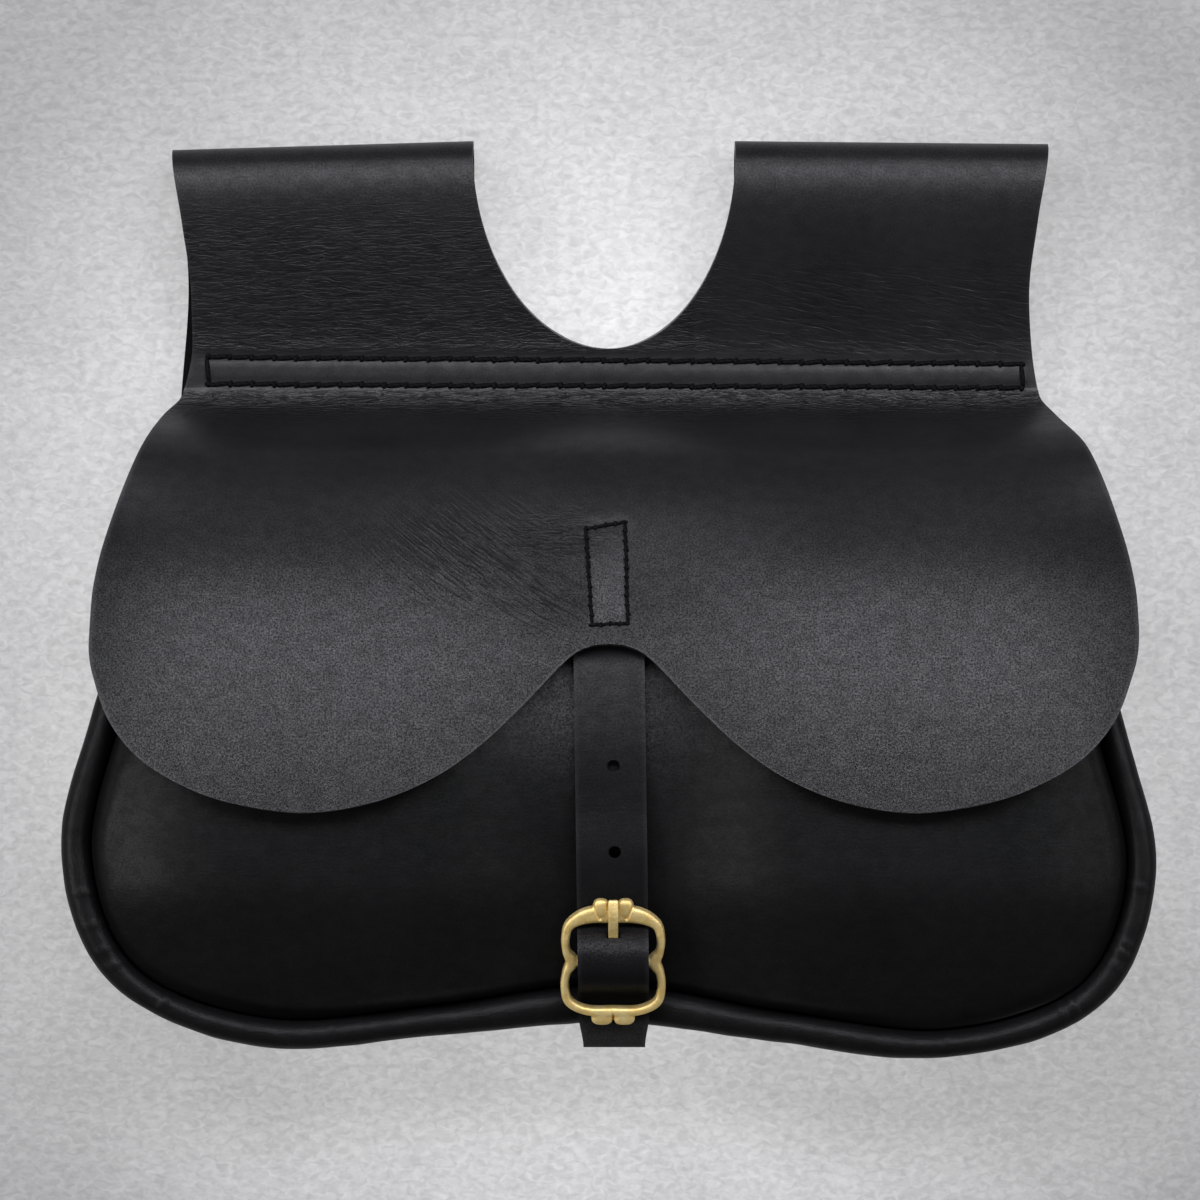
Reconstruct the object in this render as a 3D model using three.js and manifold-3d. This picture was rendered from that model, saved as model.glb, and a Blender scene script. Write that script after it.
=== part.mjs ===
// A two-lobed leather belt pouch, closed: flap with belt loops, hollow body, strap and brass buckle.
// Millimetres. The pouch lies on its back: +X is its right, +Y points to the belt loops, +Z is its front.
import * as THREE from "three";
import { mergeVertices } from "three/addons/utils/BufferGeometryUtils.js";
import Module from "manifold-3d";

const wasm = await Module();
wasm.setup();

const { clamp, degToRad, lerp, smoothstep } = THREE.MathUtils;

// Leather walls and the gaps between layers
const FLAP_WALL = 2.2;
const BODY_WALL = 2.0;
const STRAP_WALL = 2.4;
const CHAPE_WALL = 1.8;
const SEAM_GAP = 0.4;
const LAYER_GAP = 0.3;
const PIECE_GAP = 0.6;
const CHAPE_GAP = 0.56;

// The drawing's zero lies this far below the middle of the pouch, seen along its length
const DRAWING_MIDDLE = 0.1;

// The stitched band: rear legs of the loops, then the back panel, then the flap
const BAND_LOW = 53.5;
const BAND_TOP = 66;
const BACK_AT_BAND = FLAP_WALL + LAYER_GAP + BODY_WALL / 2;
const FLAP_AT_BAND = FLAP_WALL + LAYER_GAP + BODY_WALL + LAYER_GAP + FLAP_WALL / 2;

// Height of the middle of the flap's leather over a lobe and over the middle
const FLAP_RISE = [
  { y: BAND_TOP, lobe: FLAP_AT_BAND, middle: FLAP_AT_BAND },
  { y: BAND_LOW, lobe: FLAP_AT_BAND, middle: FLAP_AT_BAND },
  { y: 51, lobe: 7.0, middle: 7.0 },
  { y: 48.5, lobe: 10.4, middle: 10.2 },
  { y: 46, lobe: 15.6, middle: 15.2 },
  { y: 42, lobe: 24.0, middle: 23.4 },
  { y: 36, lobe: 32.4, middle: 31.4 },
  { y: 20, lobe: 43.0, middle: 41.0 },
  { y: 0, lobe: 52.6, middle: 47.6 },
  { y: -20, lobe: 59.0, middle: 52.0 },
  { y: -40, lobe: 63.2, middle: 54.0 },
  { y: -56, lobe: 65.6, middle: 55.0 },
];

// Edge of one lobe of the flap, from its widest place round its lowest point, the middle row, to the cleft
const LOBE_EDGE = [
  { x: 133.1, y: -8.0 },
  { x: 132.8, y: -13.5 },
  { x: 131.3, y: -19.5 },
  { x: 127.0, y: -30.0 },
  { x: 119.5, y: -39.0 },
  { x: 109.0, y: -45.7 },
  { x: 96.0, y: -50.6 },
  { x: 77.4, y: -53.4 },
  { x: 60.0, y: -51.0 },
  { x: 45.0, y: -45.1 },
  { x: 33.0, y: -36.9 },
  { x: 21.2, y: -25.9 },
  { x: 10.5, y: -15.1 },
  { x: 4.8, y: -12.0 },
  { x: 0.0, y: -11.4 },
];

// Half width of the flap and loops along the leather: up the front, over the bend and down the rear leg
const SIDE_EDGE = [
  { along: -8, left: 131.6, right: 134.5 },
  { along: 0, left: 131.4, right: 134.3 },
  { along: 8, left: 130.4, right: 133.3 },
  { along: 18, left: 128.0, right: 131.0 },
  { along: 39, left: 120.5, right: 123.3 },
  { along: 47, left: 116.5, right: 117.0 },
  { along: 53, left: 112.0, right: 113.0 },
  { along: 68, left: 109.1, right: 110.7 },
  { along: 82, left: 109.2, right: 109.9 },
  { along: 101, left: 111.2, right: 111.8 },
  { along: 123, left: 114.1, right: 114.9 },
  { along: 165, left: 110.6, right: 110.5 },
  { along: 195, left: 112.6, right: 111.0 },
];
const WIDEST_FLAP = -8;
const LOOP_OUTER = 113.6;

// Each loop: half width of the cut between the loops, and how much lower its outer end sits
const LOOPS = [
  { side: "left", sign: -1, cutHalf: 35.4, endDrop: 2.4 },
  { side: "right", sign: 1, cutHalf: 33.0, endDrop: 0.8 },
];
const CUT_DEPTH = 51;
const LOOP_BEND = 8;
const LOOP_TOP = 120.4;

// Bend and dents of the flap: valley beside the strap and droop towards the side edges
const VALLEY_HALF = 36;
const SIDE_DROOP = 11;
const DROOP_FROM = 92;
const DROOP_OVER = 42.5;
const DROOP_ENDS = 18;

// Height of the front panel's outer face over a lobe and over the middle
const FRONT_CROWN = [
  { y: 34, lobe: 30.8, middle: 28.2 },
  { y: 20, lobe: 40.2, middle: 36.0 },
  { y: 0, lobe: 49.6, middle: 42.6 },
  { y: -20, lobe: 55.6, middle: 46.4 },
  { y: -45, lobe: 59.4, middle: 47.6 },
  { y: -70, lobe: 59.4, middle: 46.0 },
  { y: -90, lobe: 54.5, middle: 40.5 },
  { y: -110, lobe: 46.0, middle: 34.0 },
];
const SIDE_FALL = 5;
const FALL_OVER = 48.2;
const LOBE_X = 78;
const EDGE_ROUND = 4;
const EDGE_FALL = 5;
const EDGE_FALL_OVER = 30;
const MOUTH_Y = 34;
const MOUTH_HALF = 92;

// Right half of the front seam, from the mouth round to the bottom, with its height above the back
const FRONT_SEAM = [
  { at: "mouth_corner", x: 102, y: 32, height: 23 },
  { at: "upper_side", x: 115, y: 0, height: 33 },
  { at: "side", x: 125.2, y: -34, height: 40 },
  { at: "widest", x: 132, y: -67, height: 42 },
  { at: "lower_corner", x: 120.3, y: -96.1, height: 41.5 },
  { at: "lobe_bottom", x: 86, y: -108.3, height: 40 },
  { at: "inner_lobe", x: 44, y: -104.4, height: 36 },
  { at: "bottom_middle", x: 0, y: -98.6, height: 32 },
];
const SEAM_SKEW = 0.017;
const SKEW_OVER = 40;
const SEAM_STEPS = 40;
const FLANGE = 5;
const ROLL = 3.2;
const BULGE = 7.4;
const MIDDLE_BULGE = 2.8;
const MIDDLE_HALF = 40;
const REAR_OUT = 1.5;
const REAR_RISE = 14;
const REAR_RISES_FROM = -10;
const REAR_ROLL = ROLL + BODY_WALL / 2;
const HALF_SEAM = (SEAM_GAP + BODY_WALL) / 2;
const BACK_TOP_HALF = 107;
const BACK_LEVEL_HALF = 98;
const BACK_RISES_FROM = 46;

// Strap, buckle and chape
const STRAP_WIDTH = 18;
const STRAP_END = { y: -114.2, z: 36.2 };
const STRAP_LEAN = 0.0138;
const STRAP_UPRIGHT_Y = -16;
const STRAP_SEWN_YS = [22, 12, 2, -8];
const STRAP_LYING_YS = [-20, -36, -52];
const STRAP_SLACK = 0.2;
const STRAP_TAPER = { from: -106, to: -114.2, narrower: 2.2 };
const HOLE_RADIUS = 1.5;
const HOLE_ASIDE = 0.8;
const HOLE_YS = [-41.5, -63.2, -106.4];
const BAR_Y = -91.7;
const BAR_Z = 47;
const BAR_RADIUS = 1.5;
const BUCKLE_TILT = degToRad(20);
const FRAME_DEPTH = 3.2;
const CHAPE_WIDTH = 15;
const CHAPE_TOP = -66;
const CHAPE_LYING_YS = [CHAPE_TOP, -73, -80];
const TONGUE_WIDTH = 2.5;
const TONGUE_EYE = 3.0;
const TONGUE_CLEARANCE = 0.35;
const TONGUE_BORE = BAR_RADIUS + 0.25;
const TONGUE_JOINS = degToRad(-11.5);
const TONGUE_LEAVES = degToRad(84.3);
const CHAPE_SLOT = 0.8;

// The strap's way through the buckle, in the buckle's own flat frame: under, over and under its bars
const STRAP_IN_BUCKLE = [
  { up: 13.6, off: -3.5 },
  { up: 10.0, off: -3.2 },
  { up: 8.3, off: -1.1 },
  { up: 6.7, off: 2.2 },
  { up: 4.2, off: 4.5 },
  { up: 0, off: 5.5 },
  { up: -3.0, off: 4.5 },
  { up: -6.0, off: 1.9 },
  { up: -8.4, off: -0.9 },
  { up: -10.6, off: -3.0 },
  { up: -14.0, off: -3.6 },
];

// Side view of the tongue's prong: its outer line from the eye to the tip, and its under line
const TONGUE_TOP = [
  { up: 0.8, off: 2.9 },
  { up: 7.6, off: 2.5 },
  { up: 9.6, off: 3.1 },
  { up: 11.5, off: 3.7 },
  { up: 17.6, off: 3.7 },
];
const TONGUE_TIP = { up: 18.2, off: 3.1 };
const TONGUE_UNDER = [
  { up: 17.8, off: 2.0 },
  { up: 10.4, off: 2.0 },
  { up: 8.2, off: 1.2 },
];

// The chape's way to the middle bar, and past its fold
const CHAPE_START = { up: 5, off: -4.9 };
const CHAPE_END = [
  { up: 3.3, off: -0.5 },
  { up: 4.6, off: -2.6 },
];

// Half of the buckle's frame from top to bottom, flat: middle of the metal and its width
const FRAME_HALF = [
  { x: 0, up: 13.1, width: 4.6 },
  { x: 6.4, up: 12.7, width: 4.2 },
  { x: 10.9, up: 10.3, width: 2.7 },
  { x: 12.1, up: 6.4, width: 2.2 },
  { x: 11.8, up: 2.8, width: 2.2 },
  { x: 10.5, up: 0, width: 3.4 },
  { x: 11.8, up: -3.0, width: 2.3 },
  { x: 12.3, up: -7.0, width: 2.2 },
  { x: 11.2, up: -11.2, width: 2.3 },
  { x: 6.6, up: -13.6, width: 2.3 },
  { x: 0, up: -13.9, width: 2.6 },
];

// Small rounded knops on the frame, one each side of its middle
const KNOP_POWER = 0.7;
const KNOPS = [
  { x: 3.1, up: 14.8, off: 0.4, halfX: 2.1, halfUp: 2.6, halfDepth: 1.5 },
  { x: 2.8, up: -15.4, off: 0, halfX: 2.8, halfUp: 2.2, halfDepth: 1.5 },
];

const leather = new THREE.MeshStandardMaterial({ color: 0x1b1b1d, roughness: 0.5, metalness: 0 });
const brass = new THREE.MeshStandardMaterial({ color: 0xd9c99c, roughness: 0.3, metalness: 1 });

// A smooth curve of one column of a table against another, with no overshoot between rows
function column(rows, key, value) {
  const sorted = [...rows].sort((a, b) => a[key] - b[key]);
  const last = sorted.length - 1;
  const rise = (i) => (sorted[i + 1][value] - sorted[i][value]) / (sorted[i + 1][key] - sorted[i][key]);
  const slope = (i) => {
    if (i === 0) return rise(0);
    if (i === last) return rise(last - 1);
    const before = rise(i - 1);
    const after = rise(i);
    return before * after <= 0 ? 0 : (2 * before * after) / (before + after);
  };
  return (at) => {
    const k = clamp(at, sorted[0][key], sorted[last][key]);
    const i = clamp(sorted.findIndex((row) => row[key] >= k) - 1, 0, last - 1);
    const span = sorted[i + 1][key] - sorted[i][key];
    const t = (k - sorted[i][key]) / span;
    const bend = t * (1 - t) * span * ((1 - t) * (slope(i) - rise(i)) - t * (slope(i + 1) - rise(i)));
    return lerp(sorted[i][value], sorted[i + 1][value], t) + bend;
  };
}

// Triangles between rows of points; points in the same place are joined
function sheet(grids) {
  const points = [];
  const faces = [];
  const known = new Map();
  const index = (p) => {
    const key = [p.x, p.y, p.z].map((v) => Math.round(v * 1e4)).join(" ");
    if (!known.has(key)) known.set(key, points.push(p) - 1);
    return known.get(key);
  };
  const face = (...corners) => {
    if (new Set(corners).size === 3) faces.push(corners);
  };
  for (const { rows, flipped } of grids) {
    for (let i = 0; i + 1 < rows.length; i++) {
      for (let j = 0; j + 1 < rows[i].length; j++) {
        const [a, b] = [index(rows[i][j]), index(rows[i][j + 1])];
        const [c, d] = [index(rows[i + 1][j + 1]), index(rows[i + 1][j])];
        if (flipped) {
          face(a, c, b);
          face(a, d, c);
        } else {
          face(a, b, c);
          face(a, c, d);
        }
      }
    }
  }
  return { points, faces };
}

// A closed wall of even thickness about a sheet, with its free edges closed
function wallAbout({ points, faces }, thickness) {
  const normals = points.map(() => new THREE.Vector3());
  const edges = new Map();
  for (const [a, b, c] of faces) {
    const ab = points[b].clone().sub(points[a]);
    const ac = points[c].clone().sub(points[a]);
    const turn = ab.cross(ac);
    for (const i of [a, b, c]) normals[i].add(turn);
    for (const [from, to] of [[a, b], [b, c], [c, a]]) edges.set(`${from} ${to}`, [from, to]);
  }
  for (const normal of normals) normal.normalize();
  const offset = (side) => points.map((p, i) => p.clone().addScaledVector(normals[i], side));
  const all = [...offset(thickness / 2), ...offset(-thickness / 2)];
  const count = points.length;
  const triangles = [];
  for (const [a, b, c] of faces) triangles.push([a, b, c], [c + count, b + count, a + count]);
  for (const [from, to] of edges.values()) {
    if (edges.has(`${to} ${from}`)) continue;
    triangles.push([to, from, from + count], [to, from + count, to + count]);
  }
  return indexed(all, triangles);
}

function indexed(points, triangles) {
  const geometry = new THREE.BufferGeometry().setFromPoints(points);
  geometry.setIndex(triangles.flat());
  return geometry;
}

// Joins and cuts
function toSolid(geometry) {
  const bare = geometry.clone();
  bare.deleteAttribute("normal");
  bare.deleteAttribute("uv");
  const joined = mergeVertices(bare, 1e-4);
  const triVerts = new Uint32Array(joined.index.array);
  const vertProperties = new Float32Array(joined.attributes.position.array);
  return new wasm.Manifold(new wasm.Mesh({ numProp: 3, vertProperties, triVerts }));
}

function toGeometry(solid) {
  const mesh = solid.getMesh();
  const geometry = new THREE.BufferGeometry();
  geometry.setAttribute("position", new THREE.Float32BufferAttribute(mesh.vertProperties, 3));
  geometry.setIndex([...mesh.triVerts]);
  return geometry;
}

// How far the middle dents the leather at a distance from the middle, from 1 down to 0
const valley = (x) => Math.exp(-Math.pow(Math.abs(x) / VALLEY_HALF, 3));

// Flap with belt loops
const flapLobe = column(FLAP_RISE, "y", "lobe");
const flapMiddle = column(FLAP_RISE, "y", "middle");

function flapHeight(x, y) {
  const outward = Math.max(Math.abs(x) - DROOP_FROM, 0) / DROOP_OVER;
  const droop = SIDE_DROOP * outward ** 2 * (1 - smoothstep(y, DROOP_ENDS, BAND_LOW));
  return lerp(flapLobe(y), flapMiddle(y), valley(x)) - droop;
}

// Side view of a loop: straight front, round bend at the top, flat rear leg
const BEND_Y = LOOP_TOP - FLAP_WALL / 2 - LOOP_BEND;
const BEND_Z = FLAP_WALL / 2 + LOOP_BEND;
const BEND_AWAY = Math.hypot(BEND_Y - BAND_TOP, BEND_Z - FLAP_AT_BAND);
const LOOP_SLOPE = Math.atan2(BEND_Z - FLAP_AT_BAND, BEND_Y - BAND_TOP) + Math.asin(LOOP_BEND / BEND_AWAY);
const LOOP_FRONT = Math.sqrt(BEND_AWAY ** 2 - LOOP_BEND ** 2);
const BEND_TURN = Math.PI + LOOP_SLOPE;
const BEND_LENGTH = LOOP_BEND * BEND_TURN;
const REAR_LEG = BEND_Y - BAND_LOW;

function loopProfile(along) {
  if (along <= LOOP_FRONT) {
    return [BAND_TOP + along * Math.cos(LOOP_SLOPE), FLAP_AT_BAND + along * Math.sin(LOOP_SLOPE)];
  }
  const past = along - LOOP_FRONT;
  if (past <= BEND_LENGTH) {
    const angle = Math.PI / 2 + LOOP_SLOPE - past / LOOP_BEND;
    return [BEND_Y + LOOP_BEND * Math.cos(angle), BEND_Z + LOOP_BEND * Math.sin(angle)];
  }
  return [BEND_Y - (past - BEND_LENGTH), FLAP_WALL / 2];
}

function loopPoint(loop, x, along) {
  const [y, z] = loopProfile(along);
  const outer = clamp((Math.abs(x) - loop.cutHalf) / (LOOP_OUTER - loop.cutHalf), 0, 1);
  const up = clamp((y - BAND_TOP) / (LOOP_TOP - BAND_TOP), 0, 1);
  return new THREE.Vector3(x, y - loop.endDrop * outer * up, z);
}

// Half an ellipse cut from between the loops
function cutEdge(loop, along) {
  const up = clamp(loopProfile(along)[0] - BAND_TOP, 0, CUT_DEPTH) / CUT_DEPTH;
  return along > LOOP_FRONT ? loop.cutHalf : loop.cutHalf * Math.sqrt(1 - (1 - up) ** 2);
}

function halfFlap(loop) {
  const across = 8;
  const lobeRows = 9;
  const bendRows = 6;
  const rearRows = 4;
  const flapYs = [3, 14, 24, 31.5, 37, 41, 44, 47, 50, BAND_LOW, (BAND_LOW + BAND_TOP) / 2, BAND_TOP];
  const cutSteps = [1.5, 4, 8, 13.5, 20.5, 29, 37];
  const edge = column(SIDE_EDGE, "along", loop.side);
  const spread = edge(WIDEST_FLAP) / LOBE_EDGE[0].x;
  const lobe = new THREE.SplineCurve(LOBE_EDGE.map((p) => new THREE.Vector2(p.x, p.y)));
  const between = (outer, inner, place) =>
    Array.from({ length: across + 1 }, (_, j) => {
      const x = lerp(outer[0], inner[0], j / across) * loop.sign;
      return place(x, lerp(outer[1], inner[1], j / across));
    });
  const onFlap = (x, y) => new THREE.Vector3(x, y, flapHeight(x, y));
  const onLoop = (x, along) => loopPoint(loop, x, along);

  const rows = [];
  for (let i = 0; i <= lobeRows; i++) {
    const t = i / lobeRows;
    const outer = lobe.getPoint((1 - t) / 2);
    const inner = lobe.getPoint((1 + t) / 2);
    rows.push(between([outer.x * lerp(1, spread, t), outer.y], [inner.x, inner.y], onFlap));
  }
  for (const y of flapYs) rows.push(between([edge(y), y], [0, y], onFlap));

  const loopSteps = [...cutSteps, LOOP_FRONT];
  for (let i = 1; i <= bendRows; i++) loopSteps.push(LOOP_FRONT + (BEND_LENGTH * i) / bendRows);
  for (let i = 1; i <= rearRows; i++) loopSteps.push(LOOP_FRONT + BEND_LENGTH + (REAR_LEG * i) / rearRows);
  for (const along of loopSteps) {
    rows.push(between([edge(BAND_TOP + along), along], [cutEdge(loop, along), along], onLoop));
  }
  return { rows, flipped: loop.sign > 0 };
}

function flapWithBeltLoops() {
  return wallAbout(sheet(LOOPS.map(halfFlap)), FLAP_WALL);
}

// The front seam's line from the left corner of the mouth round to the right one, a little lower on the right
function seamPoint(row, sign) {
  const skew = SEAM_SKEW * sign * row.x * smoothstep(-row.y, 0, SKEW_OVER);
  return new THREE.Vector3(sign * row.x, row.y - skew, row.height);
}

const leftSeam = FRONT_SEAM.map((row) => seamPoint(row, -1));
const rightSeam = FRONT_SEAM.map((row) => seamPoint(row, 1)).reverse();
const seamPoints = [...leftSeam, ...rightSeam.slice(1)];
const seamCurve = new THREE.CatmullRomCurve3(seamPoints, false, "catmullrom", 0.5);

function seamStation(u) {
  const at = seamCurve.getPointAt(u);
  const along = seamCurve.getTangentAt(u);
  const out = new THREE.Vector2(along.y, -along.x).normalize();
  const rise = REAR_RISE * smoothstep(at.y, REAR_RISES_FROM, FRONT_SEAM[0].y);
  const front = new THREE.Vector2(at.x, at.y);
  const rear = front.clone().addScaledVector(out, REAR_OUT).add(new THREE.Vector2(0, rise));
  return { front, rear, out, height: at.z };
}

const stations = Array.from({ length: SEAM_STEPS + 1 }, (_, i) => seamStation(i / SEAM_STEPS));

// Gusset: a rolled edge beside each seam, an outer wall between them, seam edges turned into the pouch
function gussetRow({ front, rear, out, height }) {
  const rollAngles = [180, 135, 90, 45, 0].map(degToRad);
  const wallShares = [1 / 3, 2 / 3];
  const bulge = BULGE + MIDDLE_BULGE * Math.exp(-((front.x / MIDDLE_HALF) ** 2)) - BODY_WALL / 2;
  const row = [];
  const add = (share, outward, z) => {
    const at = front.clone().lerp(rear, share).addScaledVector(out, outward);
    row.push(new THREE.Vector3(at.x, at.y, z));
  };
  const rollOut = (angle, reach) => lerp(HALF_SEAM, reach, (1 + Math.cos(angle)) / 2);
  const rearReach = HALF_SEAM + 2 * ROLL;
  add(0, HALF_SEAM, height - FLANGE);
  for (const angle of rollAngles) add(0, rollOut(angle, bulge), height + ROLL * Math.sin(angle));
  for (const share of wallShares) add(share, bulge, lerp(height, REAR_ROLL, share));
  for (const angle of rollAngles.toReversed()) {
    add(1, rollOut(angle, rearReach), REAR_ROLL - ROLL * Math.sin(angle));
  }
  add(1, HALF_SEAM, REAR_ROLL + FLANGE);
  return row;
}

function gusset() {
  return wallAbout(sheet([{ rows: stations.map(gussetRow), flipped: true }]), BODY_WALL);
}

// Front panel: a two-lobed crown that rounds down into the seam
const crownLobe = column(FRONT_CROWN, "y", "lobe");
const crownMiddle = column(FRONT_CROWN, "y", "middle");
const panelEdge = Array.from({ length: SEAM_STEPS * 4 + 1 }, (_, i) => {
  const { front, out, height } = seamStation(i / (SEAM_STEPS * 4));
  return { at: front.addScaledVector(out, -HALF_SEAM), height };
});

function panelHeight(x, y) {
  const here = new THREE.Vector2(x, y);
  const nearest = panelEdge.reduce((a, b) => (a.at.distanceTo(here) < b.at.distanceTo(here) ? a : b));
  const away = nearest.at.distanceTo(here);
  const dent = valley(x);
  const sideFall = SIDE_FALL * (Math.max(Math.abs(x) - LOBE_X, 0) / FALL_OVER) ** 2;
  const edgeFall = EDGE_FALL * (1 - dent) * (1 - Math.min(away / EDGE_FALL_OVER, 1)) ** 2;
  const crown = lerp(crownLobe(y), crownMiddle(y), dent) - sideFall - edgeFall - BODY_WALL / 2;
  const short = 1 - Math.min(away / EDGE_ROUND, 1);
  return lerp(nearest.height, crown, Math.sqrt(1 - short ** 2));
}

function frontPanelRow({ front, out, height }, i) {
  const edgeShares = [0.06, 0.2, 0.42, 0.7, 1];
  const innerSteps = 6;
  const crowding = 1.25;
  const fullLine = 45;
  const edge = front.clone().addScaledVector(out, -HALF_SEAM);
  const mouth = new THREE.Vector2(MOUTH_HALF * ((2 * i) / SEAM_STEPS - 1), MOUTH_Y);
  const length = edge.distanceTo(mouth);
  const squeeze = Math.min(1, length / fullLine);
  const steps = edgeShares.map((share) => share * EDGE_ROUND * squeeze);
  const edgeLast = steps.at(-1);
  for (let k = 1; k <= innerSteps; k++) steps.push(lerp(edgeLast, length, (k / innerSteps) ** crowding));
  const row = [new THREE.Vector3(edge.x, edge.y, height - FLANGE), new THREE.Vector3(edge.x, edge.y, height)];
  for (const step of steps) {
    const at = edge.clone().lerp(mouth, step / length);
    row.push(new THREE.Vector3(at.x, at.y, panelHeight(at.x, at.y)));
  }
  return row;
}

function frontPanel() {
  return wallAbout(sheet([{ rows: stations.map(frontPanelRow), flipped: false }]), BODY_WALL);
}

// Back panel: flat, with its edge turned up into the seam, rising to the stitched band at the top
function backPanelRow({ rear, out }, i) {
  const innerSteps = 3;
  const risingYs = [49.5, BAND_LOW - 0.8, BAND_TOP - 0.5];
  const row = [];
  const share = (2 * i) / SEAM_STEPS - 1;
  const edge = rear.clone().addScaledVector(out, -HALF_SEAM);
  row.push(new THREE.Vector3(edge.x, edge.y, REAR_ROLL + FLANGE));
  for (const angle of [0, 45, 90].map(degToRad)) {
    const at = edge.clone().addScaledVector(out, ROLL * (Math.cos(angle) - 1));
    row.push(new THREE.Vector3(at.x, at.y, REAR_ROLL - ROLL * Math.sin(angle)));
  }
  const foot = edge.clone().addScaledVector(out, -ROLL);
  const level = new THREE.Vector2(BACK_LEVEL_HALF * share, BACK_RISES_FROM);
  for (let k = 1; k <= innerSteps; k++) {
    const at = foot.clone().lerp(level, k / innerSteps);
    row.push(new THREE.Vector3(at.x, at.y, BODY_WALL / 2));
  }
  for (const y of risingYs) {
    const half = lerp(BACK_LEVEL_HALF, BACK_TOP_HALF, (y - BACK_RISES_FROM) / (BAND_TOP - BACK_RISES_FROM));
    const rise = smoothstep(y, BACK_RISES_FROM, risingYs[1]);
    row.push(new THREE.Vector3(half * share, y, lerp(BODY_WALL / 2, BACK_AT_BAND, rise)));
  }
  return row;
}

function backPanel() {
  return wallAbout(sheet([{ rows: stations.map(backPanelRow), flipped: true }]), BODY_WALL);
}

// The buckle's own flat frame, tilted to follow the pouch: up along the frame, off away from the pouch
const strapX = (y) => (STRAP_UPRIGHT_Y - y) * STRAP_LEAN;
const buckleX = strapX(BAR_Y);
const buckleTurn = new THREE.Matrix4().makeRotationX(BUCKLE_TILT);
const bucklePlace = new THREE.Matrix4().makeTranslation(buckleX, BAR_Y, BAR_Z).multiply(buckleTurn);

function fromBuckle(up, off) {
  const at = new THREE.Vector3(0, up, off).applyMatrix4(bucklePlace);
  return { y: at.y, z: at.z };
}

// The strap narrows a little at its tail
function strapWidth(y) {
  return STRAP_WIDTH - STRAP_TAPER.narrower * smoothstep(-y, -STRAP_TAPER.from, -STRAP_TAPER.to);
}

// A leather strip that follows a line of places in side view, with a width for each place
function strip(places, width, wall, steps) {
  const line = new THREE.CatmullRomCurve3(places.map((p) => new THREE.Vector3(0, p.y, p.z)));
  const rows = line.getSpacedPoints(steps).map((p) =>
    [-0.5, 0, 0.5].map((share) => new THREE.Vector3(strapX(p.y) + share * width(p.y), p.y, p.z)),
  );
  return { geometry: wallAbout(sheet([{ rows, flipped: false }]), wall), line };
}

// Side shape of the tongue: an eye round the middle bar and a prong up to the top bar
function tongueShape(clearance) {
  const eye = TONGUE_EYE + clearance;
  const line = [
    ...TONGUE_TOP.map((p) => new THREE.Vector2(p.up, p.off + clearance)),
    new THREE.Vector2(TONGUE_TIP.up + clearance, TONGUE_TIP.off),
    ...TONGUE_UNDER.map((p) => new THREE.Vector2(p.up, p.off - clearance)),
    new THREE.Vector2(eye * Math.cos(TONGUE_JOINS), eye * Math.sin(TONGUE_JOINS)),
  ];
  const shape = new THREE.Shape(line);
  shape.absarc(0, 0, eye, TONGUE_JOINS, TONGUE_LEAVES - 2 * Math.PI, true);
  return shape;
}

function tongueBody(clearance, holed) {
  const shape = tongueShape(clearance);
  const width = TONGUE_WIDTH + 2 * clearance;
  if (holed) shape.holes.push(new THREE.Path().absarc(0, 0, TONGUE_BORE, 0, 2 * Math.PI));
  const geometry = new THREE.ExtrudeGeometry(shape, { depth: width, bevelEnabled: false, curveSegments: 12 });
  geometry.translate(0, 0, -width / 2);
  const standing = new THREE.Matrix4().makeBasis(
    new THREE.Vector3(0, 1, 0),
    new THREE.Vector3(0, 0, 1),
    new THREE.Vector3(1, 0, 0),
  );
  return geometry.applyMatrix4(standing).applyMatrix4(bucklePlace);
}

// Closing strap: sewn under the flap, down the valley, under, over and under the buckle's bars
function closingStrap() {
  const steps = 44;
  const fineSteps = 800;
  const holeSides = 12;
  const underFlap = (y) => ({ y, z: flapMiddle(y) - (FLAP_WALL + STRAP_WALL) / 2 - PIECE_GAP });
  const onFront = (y, lift) => ({ y, z: crownMiddle(y) + STRAP_WALL / 2 + PIECE_GAP + lift });
  const places = [
    ...STRAP_SEWN_YS.map(underFlap),
    ...STRAP_LYING_YS.map((y) => onFront(y, STRAP_SLACK)),
    onFront(CHAPE_TOP, CHAPE_WALL + PIECE_GAP),
    ...STRAP_IN_BUCKLE.map((p) => fromBuckle(p.up, p.off)),
    STRAP_END,
  ];
  const { geometry, line } = strip(places, strapWidth, STRAP_WALL, steps);
  let solid = toSolid(geometry).subtract(toSolid(tongueBody(TONGUE_CLEARANCE, false)));
  const finest = line.getSpacedPoints(fineSteps);
  for (const y of HOLE_YS) {
    const k = finest.findIndex((p) => p.y < y);
    const slope = Math.atan2(finest[k].z - finest[k - 1].z, finest[k].y - finest[k - 1].y);
    const punch = new THREE.CylinderGeometry(HOLE_RADIUS, HOLE_RADIUS, STRAP_WALL * 2, holeSides);
    punch.rotateX(Math.PI / 2 + slope).translate(strapX(y) + HOLE_ASIDE, finest[k].y, finest[k].z);
    solid = solid.subtract(toSolid(punch));
  }
  return toGeometry(solid);
}

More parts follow.
